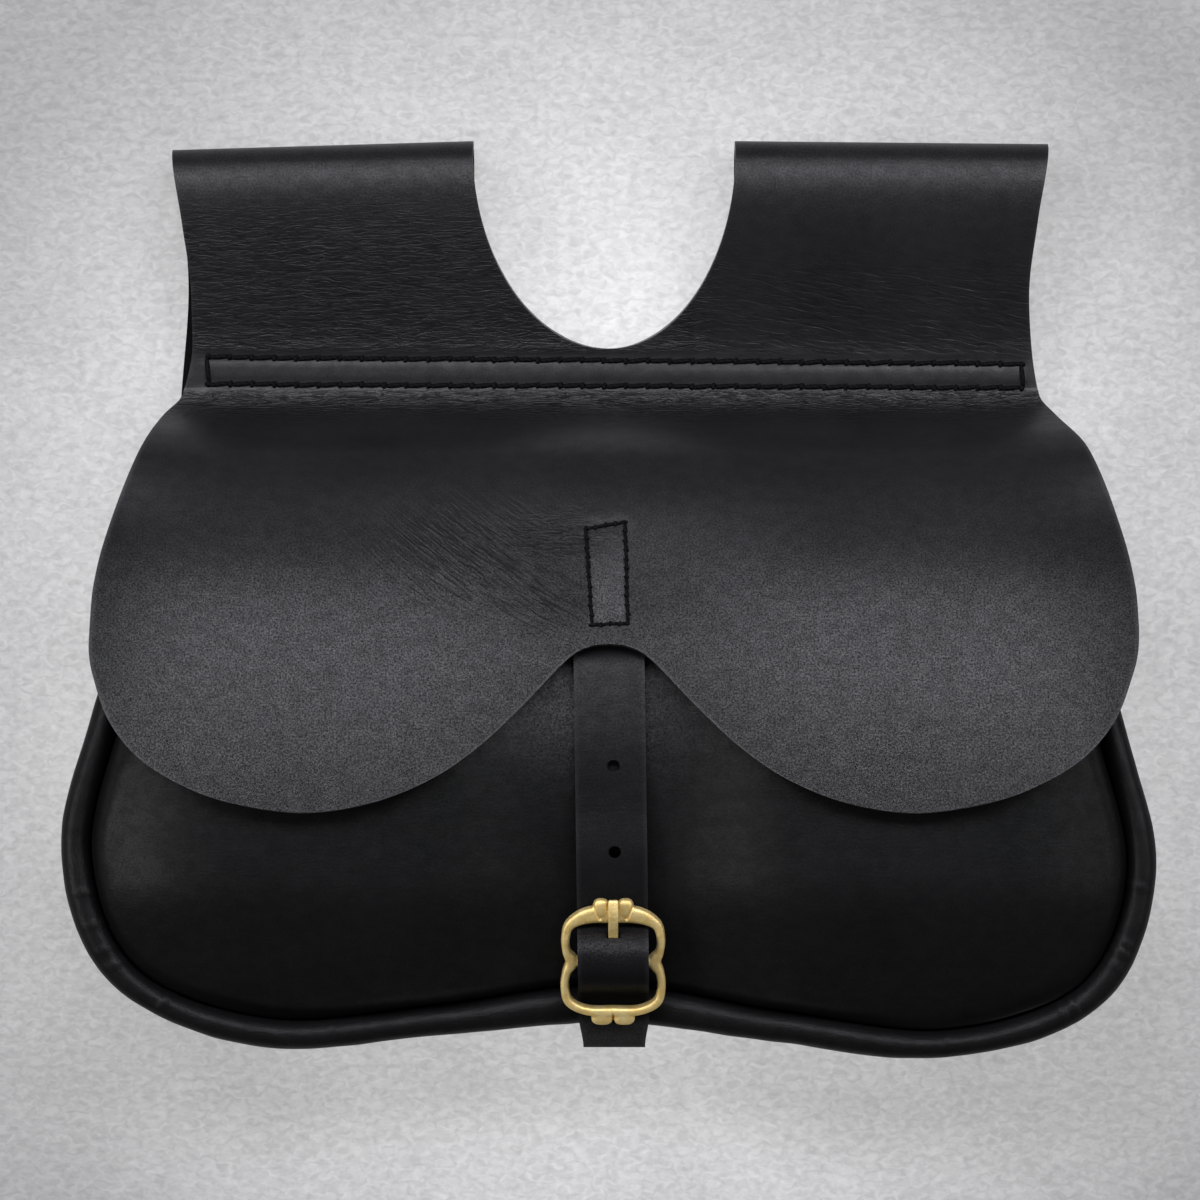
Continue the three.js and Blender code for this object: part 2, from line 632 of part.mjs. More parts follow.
// Chape: a short strip folded round the middle bar, slotted for the tongue
function buckleChape() {
  const steps = 28;
  const foldRadius = BAR_RADIUS + LAYER_GAP + CHAPE_WALL / 2;
  const onFront = (y) => ({ y, z: crownMiddle(y) + CHAPE_WALL / 2 + CHAPE_GAP });
  const fold = [270, 225, 180, 135, 90, 45].map(degToRad);
  const places = [
    ...CHAPE_LYING_YS.map(onFront),
    fromBuckle(CHAPE_START.up, CHAPE_START.off),
    ...fold.map((angle) => fromBuckle(foldRadius * Math.cos(angle), foldRadius * Math.sin(angle))),
    ...CHAPE_END.map((p) => fromBuckle(p.up, p.off)),
  ];
  const { geometry } = strip(places, () => CHAPE_WIDTH, CHAPE_WALL, steps);
  return toGeometry(toSolid(geometry).subtract(toSolid(tongueBody(CHAPE_SLOT, false))));
}

// Buckle frame: a ring of changing width, a middle bar and four knops, cast as one
function frameRing() {
  const around = 44;
  const sides = 8;
  const right = FRAME_HALF.map((p) => new THREE.Vector3(p.x, p.up, p.width));
  const left = FRAME_HALF.slice(1, -1).map((p) => new THREE.Vector3(-p.x, p.up, p.width));
  const loop = new THREE.CatmullRomCurve3([...right, ...left.reverse()], true, "catmullrom", 0.5);
  const points = [];
  const triangles = [];
  for (let i = 0; i < around; i++) {
    const at = loop.getPointAt(i / around);
    const along = loop.getTangentAt(i / around);
    const out = new THREE.Vector2(along.y, -along.x).normalize();
    for (let j = 0; j < sides; j++) {
      const angle = (2 * Math.PI * (j + 0.5)) / sides;
      const reach = (at.z / 2) * Math.cos(angle);
      const depth = (FRAME_DEPTH / 2) * Math.sin(angle);
      points.push(new THREE.Vector3(at.x + out.x * reach, at.y + out.y * reach, depth));
      const [a, b] = [i * sides + j, i * sides + ((j + 1) % sides)];
      const [d, c] = [a, b].map((k) => (k + sides) % (around * sides));
      triangles.push([a, c, b], [a, d, c]);
    }
  }
  return indexed(points, triangles);
}

// A ball of radius one whose sides are pushed out towards a box
function cushion() {
  const sides = 12;
  const rings = 6;
  const ball = new THREE.SphereGeometry(1, sides, rings).rotateX(Math.PI / 2);
  const places = ball.attributes.position.array;
  places.forEach((value, k) => {
    places[k] = Math.sign(value) * Math.abs(value) ** KNOP_POWER;
  });
  return ball;
}

function buckleFrame() {
  const barSides = 10;
  const barEnd = FRAME_HALF.find((p) => p.up === 0).x;
  const bar = new THREE.CylinderGeometry(BAR_RADIUS, BAR_RADIUS, 2 * barEnd, barSides).rotateZ(Math.PI / 2);
  let solid = toSolid(frameRing()).add(toSolid(bar));
  for (const knop of KNOPS) {
    for (const sign of [-1, 1]) {
      const body = cushion().scale(knop.halfX, knop.halfUp, knop.halfDepth);
      solid = solid.add(toSolid(body.translate(sign * knop.x, knop.up, knop.off)));
    }
  }
  return toGeometry(solid).applyMatrix4(bucklePlace);
}

// The whole pouch, moved so that the origin is under its middle
const group = new THREE.Group();
group.name = "belt_pouch";

function place(name, geometry, material) {
  geometry.translate(0, -DRAWING_MIDDLE, 0);
  geometry.computeVertexNormals();
  const mesh = new THREE.Mesh(geometry, material);
  mesh.name = name;
  group.add(mesh);
}

place("flap_with_belt_loops", flapWithBeltLoops(), leather);
place("front_panel", frontPanel(), leather);
place("gusset", gusset(), leather);
place("back_panel", backPanel(), leather);
place("closing_strap", closingStrap(), leather);
place("buckle_chape", buckleChape(), leather);
place("buckle_frame", buckleFrame(), brass);
place("buckle_tongue", tongueBody(0, true), brass);

export default group;
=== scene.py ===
import math

import bmesh
import bpy
import numpy as np
from mathutils import Matrix, Vector


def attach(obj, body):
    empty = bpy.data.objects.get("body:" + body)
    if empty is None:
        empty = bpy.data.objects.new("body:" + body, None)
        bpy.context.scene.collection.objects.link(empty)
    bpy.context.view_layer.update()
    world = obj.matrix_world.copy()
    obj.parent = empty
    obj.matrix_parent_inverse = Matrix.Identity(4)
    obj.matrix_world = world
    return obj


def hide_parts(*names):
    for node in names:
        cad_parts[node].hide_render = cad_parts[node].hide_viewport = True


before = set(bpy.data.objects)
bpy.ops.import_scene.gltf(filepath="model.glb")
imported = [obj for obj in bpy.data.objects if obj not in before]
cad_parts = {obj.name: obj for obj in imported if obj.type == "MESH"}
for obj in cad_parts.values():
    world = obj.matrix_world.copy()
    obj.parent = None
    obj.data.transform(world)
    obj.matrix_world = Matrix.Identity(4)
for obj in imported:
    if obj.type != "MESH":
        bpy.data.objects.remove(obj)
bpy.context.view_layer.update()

# Sizes of the pouch in millimetres, in the part's own drawing
MM = 0.001
DRAWING_MIDDLE = 0.1
FLAP_WALL = 2.2
BODY_WALL = 2.0
STRAP_WALL = 2.4
CHAPE_WALL = 1.8
SEAM_GAP = 0.4
LAYER_GAP = 0.3
PIECE_GAP = 0.6
CHAPE_GAP = 0.56
BAND_LOW = 53.5
BAND_TOP = 66
BACK_AT_BAND = FLAP_WALL + LAYER_GAP + BODY_WALL / 2
FLAP_AT_BAND = FLAP_WALL + LAYER_GAP + BODY_WALL + LAYER_GAP + FLAP_WALL / 2


def table(names, *rows):
    """Rows of numbers under named columns."""
    return dict(zip(names.split(), np.array(rows, float).T))


# Height of the middle of the flap's leather over a lobe and over the middle
FLAP_RISE = table(
    "y lobe middle",
    (BAND_TOP, FLAP_AT_BAND, FLAP_AT_BAND),
    (BAND_LOW, FLAP_AT_BAND, FLAP_AT_BAND),
    (51, 7.0, 7.0),
    (48.5, 10.4, 10.2),
    (46, 15.6, 15.2),
    (42, 24.0, 23.4),
    (36, 32.4, 31.4),
    (20, 43.0, 41.0),
    (0, 52.6, 47.6),
    (-20, 59.0, 52.0),
    (-40, 63.2, 54.0),
    (-56, 65.6, 55.0),
)

# Edge of one lobe of the flap, from its widest place round its lowest point to the cleft
LOBE_EDGE = table(
    "x y",
    (133.1, -8.0),
    (132.8, -13.5),
    (131.3, -19.5),
    (127.0, -30.0),
    (119.5, -39.0),
    (109.0, -45.7),
    (96.0, -50.6),
    (77.4, -53.4),
    (60.0, -51.0),
    (45.0, -45.1),
    (33.0, -36.9),
    (21.2, -25.9),
    (10.5, -15.1),
    (4.8, -12.0),
    (0.0, -11.4),
)

# Half width of the flap and loops along the leather, up the front, over the bend and down the rear leg
SIDE_EDGE = table(
    "along left right",
    (-8, 131.6, 134.5),
    (0, 131.4, 134.3),
    (8, 130.4, 133.3),
    (18, 128.0, 131.0),
    (39, 120.5, 123.3),
    (47, 116.5, 117.0),
    (53, 112.0, 113.0),
    (68, 109.1, 110.7),
    (82, 109.2, 109.9),
    (101, 111.2, 111.8),
    (123, 114.1, 114.9),
    (165, 110.6, 110.5),
    (195, 112.6, 111.0),
)
WIDEST_FLAP = -8

# Each loop: half width of the cut between the loops, and how much lower its outer end sits
LOOPS = (
    {"side": "left", "sign": -1, "cut_half": 35.4, "end_drop": 2.4},
    {"side": "right", "sign": 1, "cut_half": 33.0, "end_drop": 0.8},
)
LOOP_OUTER = 113.6
CUT_DEPTH = 51
LOOP_TOP = 120.4

# Lean of the leather up a loop's front, in degrees above level, to where it bends over in a round
LOOP_LEAN = table(
    "along lean",
    (0, 16),
    (20.7, 16),
    (31.7, 12.5),
    (39.7, 5),
    (45.7, -6),
    (49.9, -20),
)

# Valley down the middle of the flap, and how its sides hang
VALLEY_HALF = 36
SIDE_DROOP = 11
DROOP_FROM = 92
DROOP_OVER = 42.5
DROOP_ENDS = 18

# Height of the front panel's outer face over a lobe and over the middle
FRONT_CROWN = table(
    "y lobe middle",
    (34, 30.8, 28.2),
    (20, 40.2, 36.0),
    (0, 49.6, 42.6),
    (-20, 55.6, 46.4),
    (-45, 59.4, 47.6),
    (-70, 59.4, 46.0),
    (-90, 54.5, 40.5),
    (-110, 46.0, 34.0),
)
SIDE_FALL = 5
FALL_OVER = 48.2
LOBE_X = 78
EDGE_ROUND = 4
EDGE_FALL = 5
EDGE_FALL_OVER = 30
MOUTH_Y = 34
MOUTH_HALF = 92

# Right half of the front seam, from the mouth round to the bottom
FRONT_SEAM = table(
    "x y height",
    (102, 32, 23),
    (115, 0, 33),
    (125.2, -34, 40),
    (132, -67, 42),
    (120.3, -96.1, 41.5),
    (86, -108.3, 40),
    (44, -104.4, 36),
    (0, -98.6, 32),
)
SEAM_SKEW = 0.017
SKEW_OVER = 40
FLANGE = 5
ROLL = 3.2
BULGE = 7.4
MIDDLE_BULGE = 2.8
MIDDLE_HALF = 40
REAR_OUT = 1.5
REAR_RISE = 14
REAR_RISES_FROM = -10
REAR_ROLL = ROLL + BODY_WALL / 2
HALF_SEAM = (SEAM_GAP + BODY_WALL) / 2
BACK_TOP_HALF = 107
BACK_LEVEL_HALF = 98
BACK_RISES_FROM = 46
BACK_LIFTED_BY = BAND_LOW - 0.8
BACK_RISING_YS = (47.5, 49.5, 51.2, BACK_LIFTED_BY, 60, BAND_TOP - 0.5)

# How far the cut edges of the leather and of the tongue are rounded
FLAP_ROUNDING = 0.45
BODY_ROUNDING = 0.4
STRAP_ROUNDING = 0.4
CHAPE_ROUNDING = 0.3
TONGUE_ROUNDING = 0.5

# Strap and buckle
STRAP_WIDTH = 18
STRAP_LEAN = 0.0138
STRAP_UPRIGHT_Y = -16
STRAP_SEWN_YS = (22, 12, 2, -8)
STRAP_LYING_YS = (-20, -36, -52)
STRAP_SLACK = 0.2
STRAP_TAPER_YS = (-106, -114.2)
STRAP_NARROWER = 2.2
STRAP_END = (-114.2, 36.2)

# Painted light and shade in the strap's shine along its length: a painted shadow under the flap's edge, a
# painted highlight below it that fades down the front, a brighter place at the buckle, painted shade where
# it dips under the buckle's bottom bar, which also dims the brass's reflection in it, and a painted
# highlight on the tail
STRAP_PAINTED_SHINE = table(
    "y polish",
    (-10, 0.0),
    (-13.4, 0.05),
    (-17, 2.2),
    (-26, 2.2),
    (-42, 1.1),
    (-60, 0.5),
    (-80, 0.5),
    (-84, 1.5),
    (-89, 1.0),
    (-95, 0.2),
    (-104, 0.1),
    (-108, 2.7),
    (-115, 2.7),
)
CHAPE_WIDTH = 15
CHAPE_TOP = -66
CHAPE_LYING_YS = (CHAPE_TOP, -73, -80)
CHAPE_SLOT = 0.8
HOLE_ASIDE = 0.8
HOLE_RADIUS = 1.5
HOLE_YS = (-41.5, -63.2, -106.4)
BAR_Y = -91.7
BAR_Z = 47
BAR_RADIUS = 1.5
BUCKLE_TILT = math.radians(20)
FRAME_DEPTH = 3.2
TONGUE_WIDTH = 2.5
TONGUE_EYE = 3.0
TONGUE_CLEARANCE = 0.35
TONGUE_BORE = BAR_RADIUS + 0.25
TONGUE_JOINS = math.radians(-11.5)
TONGUE_LEAVES = math.radians(84.3)
FRAME_SQUARENESS = 0.6

# Side view of the tongue's prong in the buckle's flat frame: up and off
TONGUE_TOP = ((0.8, 2.9), (7.6, 2.5), (9.6, 3.1), (11.5, 3.7), (17.6, 3.7))
TONGUE_TIP = (18.2, 3.1)
TONGUE_UNDER = ((17.8, 2.0), (10.4, 2.0), (8.2, 1.2))

# The chape's way to the middle bar and past its fold, as up and off
CHAPE_START = (5, -4.9)
CHAPE_END = ((3.3, -0.5), (4.6, -2.6))

# Grooves beside the knops: how deep and wide, and each from one place to another in the frame's flat frame
KNOP_GROOVE = {"depth": 0.45, "half": 0.3}
KNOP_GROOVES = (((5.2, 15.9), (3.4, 12.2)), ((0.0, -17.8), (0.0, -14.6)))

# The strap's way through the buckle, in the buckle's own flat frame
STRAP_IN_BUCKLE = (
    (13.6, -3.5),
    (10.0, -3.2),
    (8.3, -1.1),
    (6.7, 2.2),
    (4.2, 4.5),
    (0, 5.5),
    (-3.0, 4.5),
    (-6.0, 1.9),
    (-8.4, -0.9),
    (-10.6, -3.0),
    (-14.0, -3.6),
)

# Half of the buckle's frame from top to bottom, flat: middle of the metal and its width
FRAME_HALF = table(
    "x up width",
    (0, 13.1, 4.6),
    (6.4, 12.7, 4.2),
    (10.9, 10.3, 2.7),
    (12.1, 6.4, 2.2),
    (11.8, 2.8, 2.2),
    (10.5, 0, 3.4),
    (11.8, -3.0, 2.3),
    (12.3, -7.0, 2.2),
    (11.2, -11.2, 2.3),
    (6.6, -13.6, 2.3),
    (0, -13.9, 2.6),
)
BAR_HALF = 10.5

# Small rounded knops on the frame, one each side of its middle
KNOP_POWER = 0.7
CAST_VOXEL = 0.2
KNOPS = table(
    "x up off half_x half_up half_depth",
    (3.1, 14.8, 0.4, 2.1, 2.6, 1.5),
    (2.8, -15.4, 0.0, 2.8, 2.2, 1.5),
)

# Two rows of stitches across the band, and the box of stitches that holds the strap
BAND_ROWS = table("x upper lower", (-105.1, 63.7, 56.6), (108.4, 61.9, 55.6))
BAND_PITCH = 5.75
BAND_THREAD = 0.64
BAND_GROOVE = 0.3
BAND_SWELL = 0.12
GROOVE_HALF = 0.8
GROOVE_BEAT = 0.2
STRIP_INSET = 0.5
STRIP_SOFT = 1.5
BAND_FADE = 2
SCALLOP = 0.45
BAND_SLANT = 0.25
KNOT_SHARE = 1.1
KNOT_ACROSS = 1.4
KNOT_ALONG = 0.4
STITCH_RISE = 0.9
STITCH_SINK = 0.4
STITCH_TAPER = 0.2
BOX_CORNERS = ((-5.9, 17.8), (4.1, 19.3), (4.8, -6.1), (-4.3, -6.6))
BOX_PITCH = 2.4
BOX_THREAD = 0.48
BOX_GROOVE = 0.35
BOX_SLANT = 0.15
HAND_SEWN = 0.14

# Slanting wrinkles: their slope beside the strap's stitches, how it steepens outwards, and the loops' slope
DRAG_SLOPE = 0.5
DRAG_BEND = 0.003
LOOP_SLOPE = 0.2
DRAG_TURN = math.radians(34)

# Round patches of wrinkles: where each is strongest, how far it reaches and how strong it is
LEVEL_PATCHES = table("x v reach_x reach_v share", (-13, 15, 13, 6, 0.6))
DRAG_PATCHES = table(
    "x v reach_x reach_v share",
    (-34, 10, 24, 14, 1.0),
    (-15, -1, 11, 8, 0.7),
    (24, 4, 14, 12, 0.3),
)

# Where the right loop's slanting wrinkles take over from the left one's level ones
RIGHT_LOOP_FROM = (16, 40)

# Painted shade on the shine round the box of stitches, but not on the leather inside it, which keeps its
# shine
PAINTED_SHADE_PATCHES = table("x v reach_x reach_v share", (0, 0, 34, 15, 0.5))
BOX_INSIDE_TOP = 18

# Ridges and waves in the leather: length, width, height and random seed
LEVEL_RIDGES = (16, 3.2, 0.2, 11)
SLANT_RIDGES = (20, 3.6, 0.16, 17)
RIDGE_MEAN = 0.3
FLAP_WAVES = (46, 40, 0.9, 23)
FLAP_WAVES_END = (28, 46)
GUSSET_WAVES = (26, 18, 0.9, 31)
GUSSET_PUCKERS = (6, 30, 0.22, 37)
FRONT_WAVES = (40, 34, 1.0, 41)
FRONT_PUCKERS = (6, 30, 0.7, 43)
PUCKERS_AT = (4, 4)

# How open the pores are on smooth leather, and how much more on a loop's bend
SMOOTH_PORES = 0.3
BEND_PORES = 0.2

# Painted highlight: a patch of the front near the strap whose shine is raised
FRONT_PAINTED_HIGHLIGHT = table("x v reach_x reach_v share", (-4, -28, 22, 14, 1.0))
PAINTED_HIGHLIGHT_GAIN = 2.4

# How finely the leather is drawn: rows, columns and steps of each part
LOBE_STEPS = 8
RISE_ROWS = 57
LOOP_ROWS = {"front": 37, "bend": 19, "rear": 17}
FLAP_COLUMNS = 92
GUSSET_STATIONS = 900
GUSSET_STEPS = {"front_roll": 13, "wall": 12, "rear_roll": 9}
FRONT_STATIONS = 261
FRONT_STEPS = {"round": 12, "inner": 33}
FRONT_CROWDING = 1.25
FULL_ROUND_FROM = 45
BACK_STATIONS = 181
BACK_STEPS = {"round": 7, "level": 24}
STRAP_ROWS = 190
STRAP_COLUMNS = 15
CHAPE_ROWS = 90
CHAPE_COLUMNS = 11

# Camera straight above, from the photograph's own perspective
PHOTO_PIXELS = 1200
CAMERA_PIXELS = 4854
CAMERA_X = -2.3
CAMERA_HEIGHT = 1280

# Short creases pressed across the rolled edge of the gusset
CREASE_HALF = 0.9
CREASE_SLANT = 0.2
CREASE_PLACE = (FLANGE + 2.5, 3.5)
ROLL_CREASES = table(
    "x y depth",
    (134.4, -72.1, 0.3),
    (131.6, -86.8, 0.35),
    (131.6, -89.6, 0.45),
    (129.4, -92.9, 0.35),
    (118.9, -103.6, 0.7),
    (116.4, -105.6, 0.5),
    (86.8, -112.0, 0.5),
    (-70.5, -108.0, 0.45),
    (-113.4, -104.4, 0.6),
    (-126.3, -93.7, 0.35),
    (-128.9, -90.4, 0.3),
    (-131.9, -83.5, 0.3),
    (-133.7, -75.4, 0.35),
)


# Curves, noise and masks
def lerp(a, b, t):
    return a + (b - a) * t


def smoothstep(low, high, x):
    t = np.clip((x - low) / (high - low), 0, 1)
    return t * t * (3 - 2 * t)


def hump(x, middle, half):
    return np.exp(-(((x - middle) / half) ** 2))


def plateau(x, starts, full, fades, ends, share=1.0):
    """A mask that rises from 0 to its share, stays there and falls again."""
    return share * smoothstep(starts, full, x) * (1 - smoothstep(fades, ends, x))


def patches(rows, x, v):
    """Soft round patches of a mask, added up."""
    total = 0
    for at_x, at_v, reach_x, reach_v, share in zip(*rows.values()):
        total = total + share * hump(x, at_x, reach_x) * hump(v, at_v, reach_v)
    return total


def shares(count):
    """That many even steps up to 1, without 0."""
    return np.linspace(0, 1, count + 1)[1:]


def running(steps):
    """Distance gone after each step, from 0."""
    return np.concatenate(([0], np.cumsum(steps)))


def travel(line):
    """Distance along a line of points."""
    return running(np.linalg.norm(np.diff(line, axis=0), axis=1))


def unit(vectors):
    """The same directions, each 1 long."""
    return vectors / np.maximum(np.linalg.norm(vectors, axis=-1, keepdims=True), 1e-9)


def right_hand(along):
    """Directions to the right of others in a plane."""
    return unit(stacked(along[:, 1], -along[:, 0]))


def stacked(*columns):
    """Columns of numbers side by side."""
    return np.stack(columns, -1)


def flat_place(u, w):
    """Places on flat leather."""
    return stacked(u, w, np.zeros_like(u))


def column(rows, key, value):
    """A smooth curve of one column against another, with no overshoot between rows."""
    order = np.argsort(rows[key])
    at = rows[key][order]
    to = rows[value][order]
    rise = np.diff(to) / np.diff(at)
    product = rise[:-1] * rise[1:]
    total = np.where(product > 0, rise[:-1] + rise[1:], 1)
    slope = np.concatenate((rise[:1], np.where(product > 0, 2 * product / total, 0), rise[-1:]))

    def curve(x):
        x = np.clip(x, at[0], at[-1])
        i = np.clip(np.searchsorted(at, x) - 1, 0, len(at) - 2)
        span = at[i + 1] - at[i]
        t = (x - at[i]) / span
        turn = (1 - t) * (slope[i] - rise[i]) - t * (slope[i + 1] - rise[i])
        return lerp(to[i], to[i + 1], t) + t * (1 - t) * span * turn

    return curve


def catmull(points, per_span, closed=False, power=0.0):
    """Points along a Catmull-Rom curve. Power 0 is uniform and 0.5 is centripetal."""
    points = np.array(points, float)
    if closed:
        ends = np.concatenate((points[-1:], points, points[:2]))
    else:
        first = 2 * points[0] - points[1]
        last = 2 * points[-1] - points[-2]
        ends = np.concatenate((first[None], points, last[None]))
    t = np.linspace(0, 1, per_span, endpoint=False)[:, None]
    curve = []
    for p0, p1, p2, p3 in zip(ends[:-3], ends[1:-2], ends[2:-1], ends[3:]):
        d0, d1, d2 = (np.linalg.norm(b - a) ** power for a, b in ((p0, p1), (p1, p2), (p2, p3)))
        m1 = ((p1 - p0) / d0 - (p2 - p0) / (d0 + d1) + (p2 - p1) / d1) * d1
        m2 = ((p2 - p1) / d1 - (p3 - p1) / (d1 + d2) + (p3 - p2) / d2) * d1
        cubic = 2 * (p1 - p2) + m1 + m2
        square = 3 * (p2 - p1) - 2 * m1 - m2
        curve.append(((cubic * t + square) * t + m1) * t + p1)
    if not closed:
        curve.append(points[-1:])
    return np.concatenate(curve)


def evenly(curve, count):
    """The same curve with its points an even distance apart."""
    run = travel(curve)
    at = np.linspace(0, run[-1], count)
    return np.stack([np.interp(at, run, curve[:, k]) for k in range(curve.shape[1])], -1)


LATTICE = 128


def noise(u, v, seed):
    """Smooth random heights from 0 to 1 over a plane, the same in each run."""
    lattice = np.random.default_rng(seed).random((LATTICE, LATTICE))
    iu = np.floor(u).astype(int)
    iv = np.floor(v).astype(int)
    fu = smoothstep(0, 1, u - iu)
    fv = smoothstep(0, 1, v - iv)

    def corner(a, b):
        return lattice[(iu + a) % LATTICE, (iv + b) % LATTICE]

    return lerp(lerp(corner(0, 0), corner(1, 0), fu), lerp(corner(0, 1), corner(1, 1), fu), fv)


def waves(u, w, length_u, length_w, height, seed):
    """Soft random hills and hollows."""
    return height * (noise(u / length_u, w / length_w, seed) - 0.5)


def streaks(along, across, length, width, height, seed):
    """Long narrow ridges between shallow hollows."""
    wander = noise(along / (2 * length), across / (3 * width), seed + 1)
    ridge = 1 - np.abs(2 * noise(along / length, across / width + wander, seed) - 1)
    return height * (ridge**2 - RIDGE_MEAN)


# Meshes. Each point of a leather sheet knows its places on the flat leather and some masks
PLACE_FIELDS = ("pattern", "fan")
MASK_FIELDS = {"edge": 0.0, "crease": 0.0, "drag": 0.0, "pores": 0.0, "polish": 1.0}


def to_metres(points):
    return (np.asarray(points, float) - (0, DRAWING_MIDDLE, 0)) * MM


def placed(name, data):
    obj = bpy.data.objects.new(name, data)
    bpy.context.scene.collection.objects.link(obj)
    return obj


def new_object(name, mesh, material):
    obj = placed(name, mesh)
    mesh.materials.append(material)
    mesh.shade_smooth()
    return obj


def grid_faces(rows, columns, start, flipped, closed=()):
    """Quads between neighbouring rows and columns of a grid of points, which may close along its axes."""
    index = np.arange(rows * columns).reshape(rows, columns) + start
    for axis in closed:
        index = np.concatenate((index, index.take([0], axis)), axis)
    corners = (index[:-1, :-1], index[:-1, 1:], index[1:, 1:], index[1:, :-1])
    quads = np.stack(corners, -1).reshape(-1, 4)
    return quads[:, ::-1] if flipped else quads


def leather_mesh(name, grids):
    """One mesh from grids of points, each with its places on the flat leather and masks for the material."""
    points = []
    faces = []
    fields = {key: [] for key in (*PLACE_FIELDS, *MASK_FIELDS)}
    start = 0
    for grid in grids:
        shape = grid["points"].shape[:2]
        points.append(grid["points"].reshape(-1, 3))
        faces.append(grid_faces(*shape, start, grid["flipped"]))
        start += shape[0] * shape[1]
        for key in PLACE_FIELDS:
            fields[key].append(grid.get(key, grid["pattern"]).reshape(-1, 3) * MM)
        for key, usual in MASK_FIELDS.items():
            fields[key].append(np.broadcast_to(grid.get(key, usual), shape).reshape(-1))
    mesh = bpy.data.meshes.new(name)
    mesh.from_pydata(to_metres(np.concatenate(points)), [], np.concatenate(faces).tolist())
    for key, parts in fields.items():
        kind, value = ("FLOAT_VECTOR", "vector") if key in PLACE_FIELDS else ("FLOAT", "value")
        layer = mesh.attributes.new(key, kind, "POINT")
        layer.data.foreach_set(value, np.concatenate(parts).astype(np.float32).ravel())
    joined = bmesh.new()
    joined.from_mesh(mesh)
    bmesh.ops.remove_doubles(joined, verts=joined.verts, dist=1e-6)
    joined.to_mesh(mesh)
    joined.free()
    return mesh


def round_edges(obj, rounding):
    bevel = obj.modifiers.new("rounding", "BEVEL")
    bevel.width = rounding * MM
    bevel.segments = 2
    bevel.limit_method = "ANGLE"
    bevel.angle_limit = math.radians(50)
    bevel.harden_normals = True


def settle(obj):
    """Makes an object's modifiers part of its mesh."""
    bpy.context.view_layer.update()
    shown = obj.evaluated_get(bpy.context.evaluated_depsgraph_get())
    mesh = bpy.data.meshes.new_from_object(shown)
    obj.modifiers.clear()
    old = obj.data
    obj.data = mesh
    bpy.data.meshes.remove(old)


def cut_away(obj, cutters):
    """Cuts closed meshes out of an object and deletes them."""
    for cutter in cutters:
        cut = obj.modifiers.new("cut", "BOOLEAN")
        cut.object = cutter
        cut.solver = "EXACT"
    settle(obj)
    for cutter in cutters:
        mesh = cutter.data
        bpy.data.objects.remove(cutter)
        bpy.data.meshes.remove(mesh)


def make_sheet(name, grids, material, wall, rounding, cutters=()):
    """A piece of leather from its grids, with its wall, its holes and its rounded edges."""
    obj = new_object(name, leather_mesh(name, grids), material)
    solid = obj.modifiers.new("wall", "SOLIDIFY")
    solid.thickness = wall * MM
    solid.offset = 0
    if cutters:
        cut_away(obj, cutters)
    round_edges(obj, rounding)
    return obj


def grid_edge(shape, *sides):
    """A mask that is 1 on the named sides of a grid: first or last row, first or last column."""
    mask = np.zeros(shape)
    for side in sides:
        mask[side] = 1
    return mask


# Painted shade in pores and wrinkles: how much shine the leather keeps there, and how much its shine varies
# elsewhere
PIT_SHINE = 0.2
HOLLOW_SHINE = 0.1
FURROW_SHINE = 0.45
FLECK_SHINE = 0.6
BLOTCH_SHINE = 0.16
GRAIN_SHINE = 0.07
PORE_SPACING = 0.45


# Materials. A function that is given a socket works in that socket's own node tree
def feed(tree, node, inputs):
    """Sets each input of a node to a value, or links it to a socket."""
    for key, value in inputs.items():
        if isinstance(value, bpy.types.NodeSocket):
            tree.links.new(value, node.inputs[key])
        else:
            node.inputs[key].default_value = value


def add(tree, kind, inputs, **settings):
    """A shader node with its settings and inputs."""
    node = tree.nodes.new("ShaderNode" + kind)
    for key, value in settings.items():
        setattr(node, key, value)
    feed(tree, node, inputs)
    return node


def new_material(name, look, **terms):
    """A material whose shader takes the inputs that a look works out in its node tree."""
    material = bpy.data.materials.new(name)
    material.use_nodes = True
    tree = material.node_tree
    feed(tree, tree.nodes["Principled BSDF"], look(tree, **terms))
    return material


def object_place(tree):
    return add(tree, "TexCoord", {}).outputs["Object"]


def grey(value):
    return (value, value, value)


def times(a, b):
    return add(a.id_data, "Math", {0: a, 1: b}, operation="MULTIPLY").outputs[0]


def bump(height, strength, depth, under=None):
    inputs = {"Height": height, "Strength": strength, "Distance": depth * MM}
    if under:
        inputs["Normal"] = under
    return add(height.id_data, "Bump", inputs).outputs["Normal"]


def spread(vector, size):
    """Coordinates stretched to features of that many millimetres, one size or three."""
    scale = [1 / (length * MM) for length in np.broadcast_to(size, 3)]
    return add(vector.id_data, "Mapping", {"Vector": vector, "Scale": scale}).outputs[0]


def cloudy(vector, size, detail, warp=0.0):
    """Noise with features of that many millimetres."""
    inputs = {"Vector": spread(vector, size), "Scale": 1.0, "Detail": detail, "Distortion": warp}
    return add(vector.id_data, "TexNoise", inputs).outputs["Fac"]


def ranged(value, low, high, to_low, to_high):
    """A value from one range carried over to another, softened at both ends."""
    inputs = {"Value": value, "From Min": low, "From Max": high, "To Min": to_low, "To Max": to_high}
    return add(value.id_data, "MapRange", inputs, interpolation_type="SMOOTHSTEP").outputs["Result"]


def between(value, low, high, first, second):
    """A colour that goes from the first to the second as the value goes from low to high."""
    ramp = add(value.id_data, "ValToRGB", {"Fac": value})
    for element, position, colour in zip(ramp.color_ramp.elements, (low, high), (first, second)):
        element.position = position
        element.color = (*colour, 1)
    return ramp.outputs["Color"]


def low_places(height, mask, full, none):
    """Where a height is low, from 1 where it is down to full to 0 where it is up to none, under a mask."""
    return times(ranged(height, full, none, 1.0, 0.0), mask)


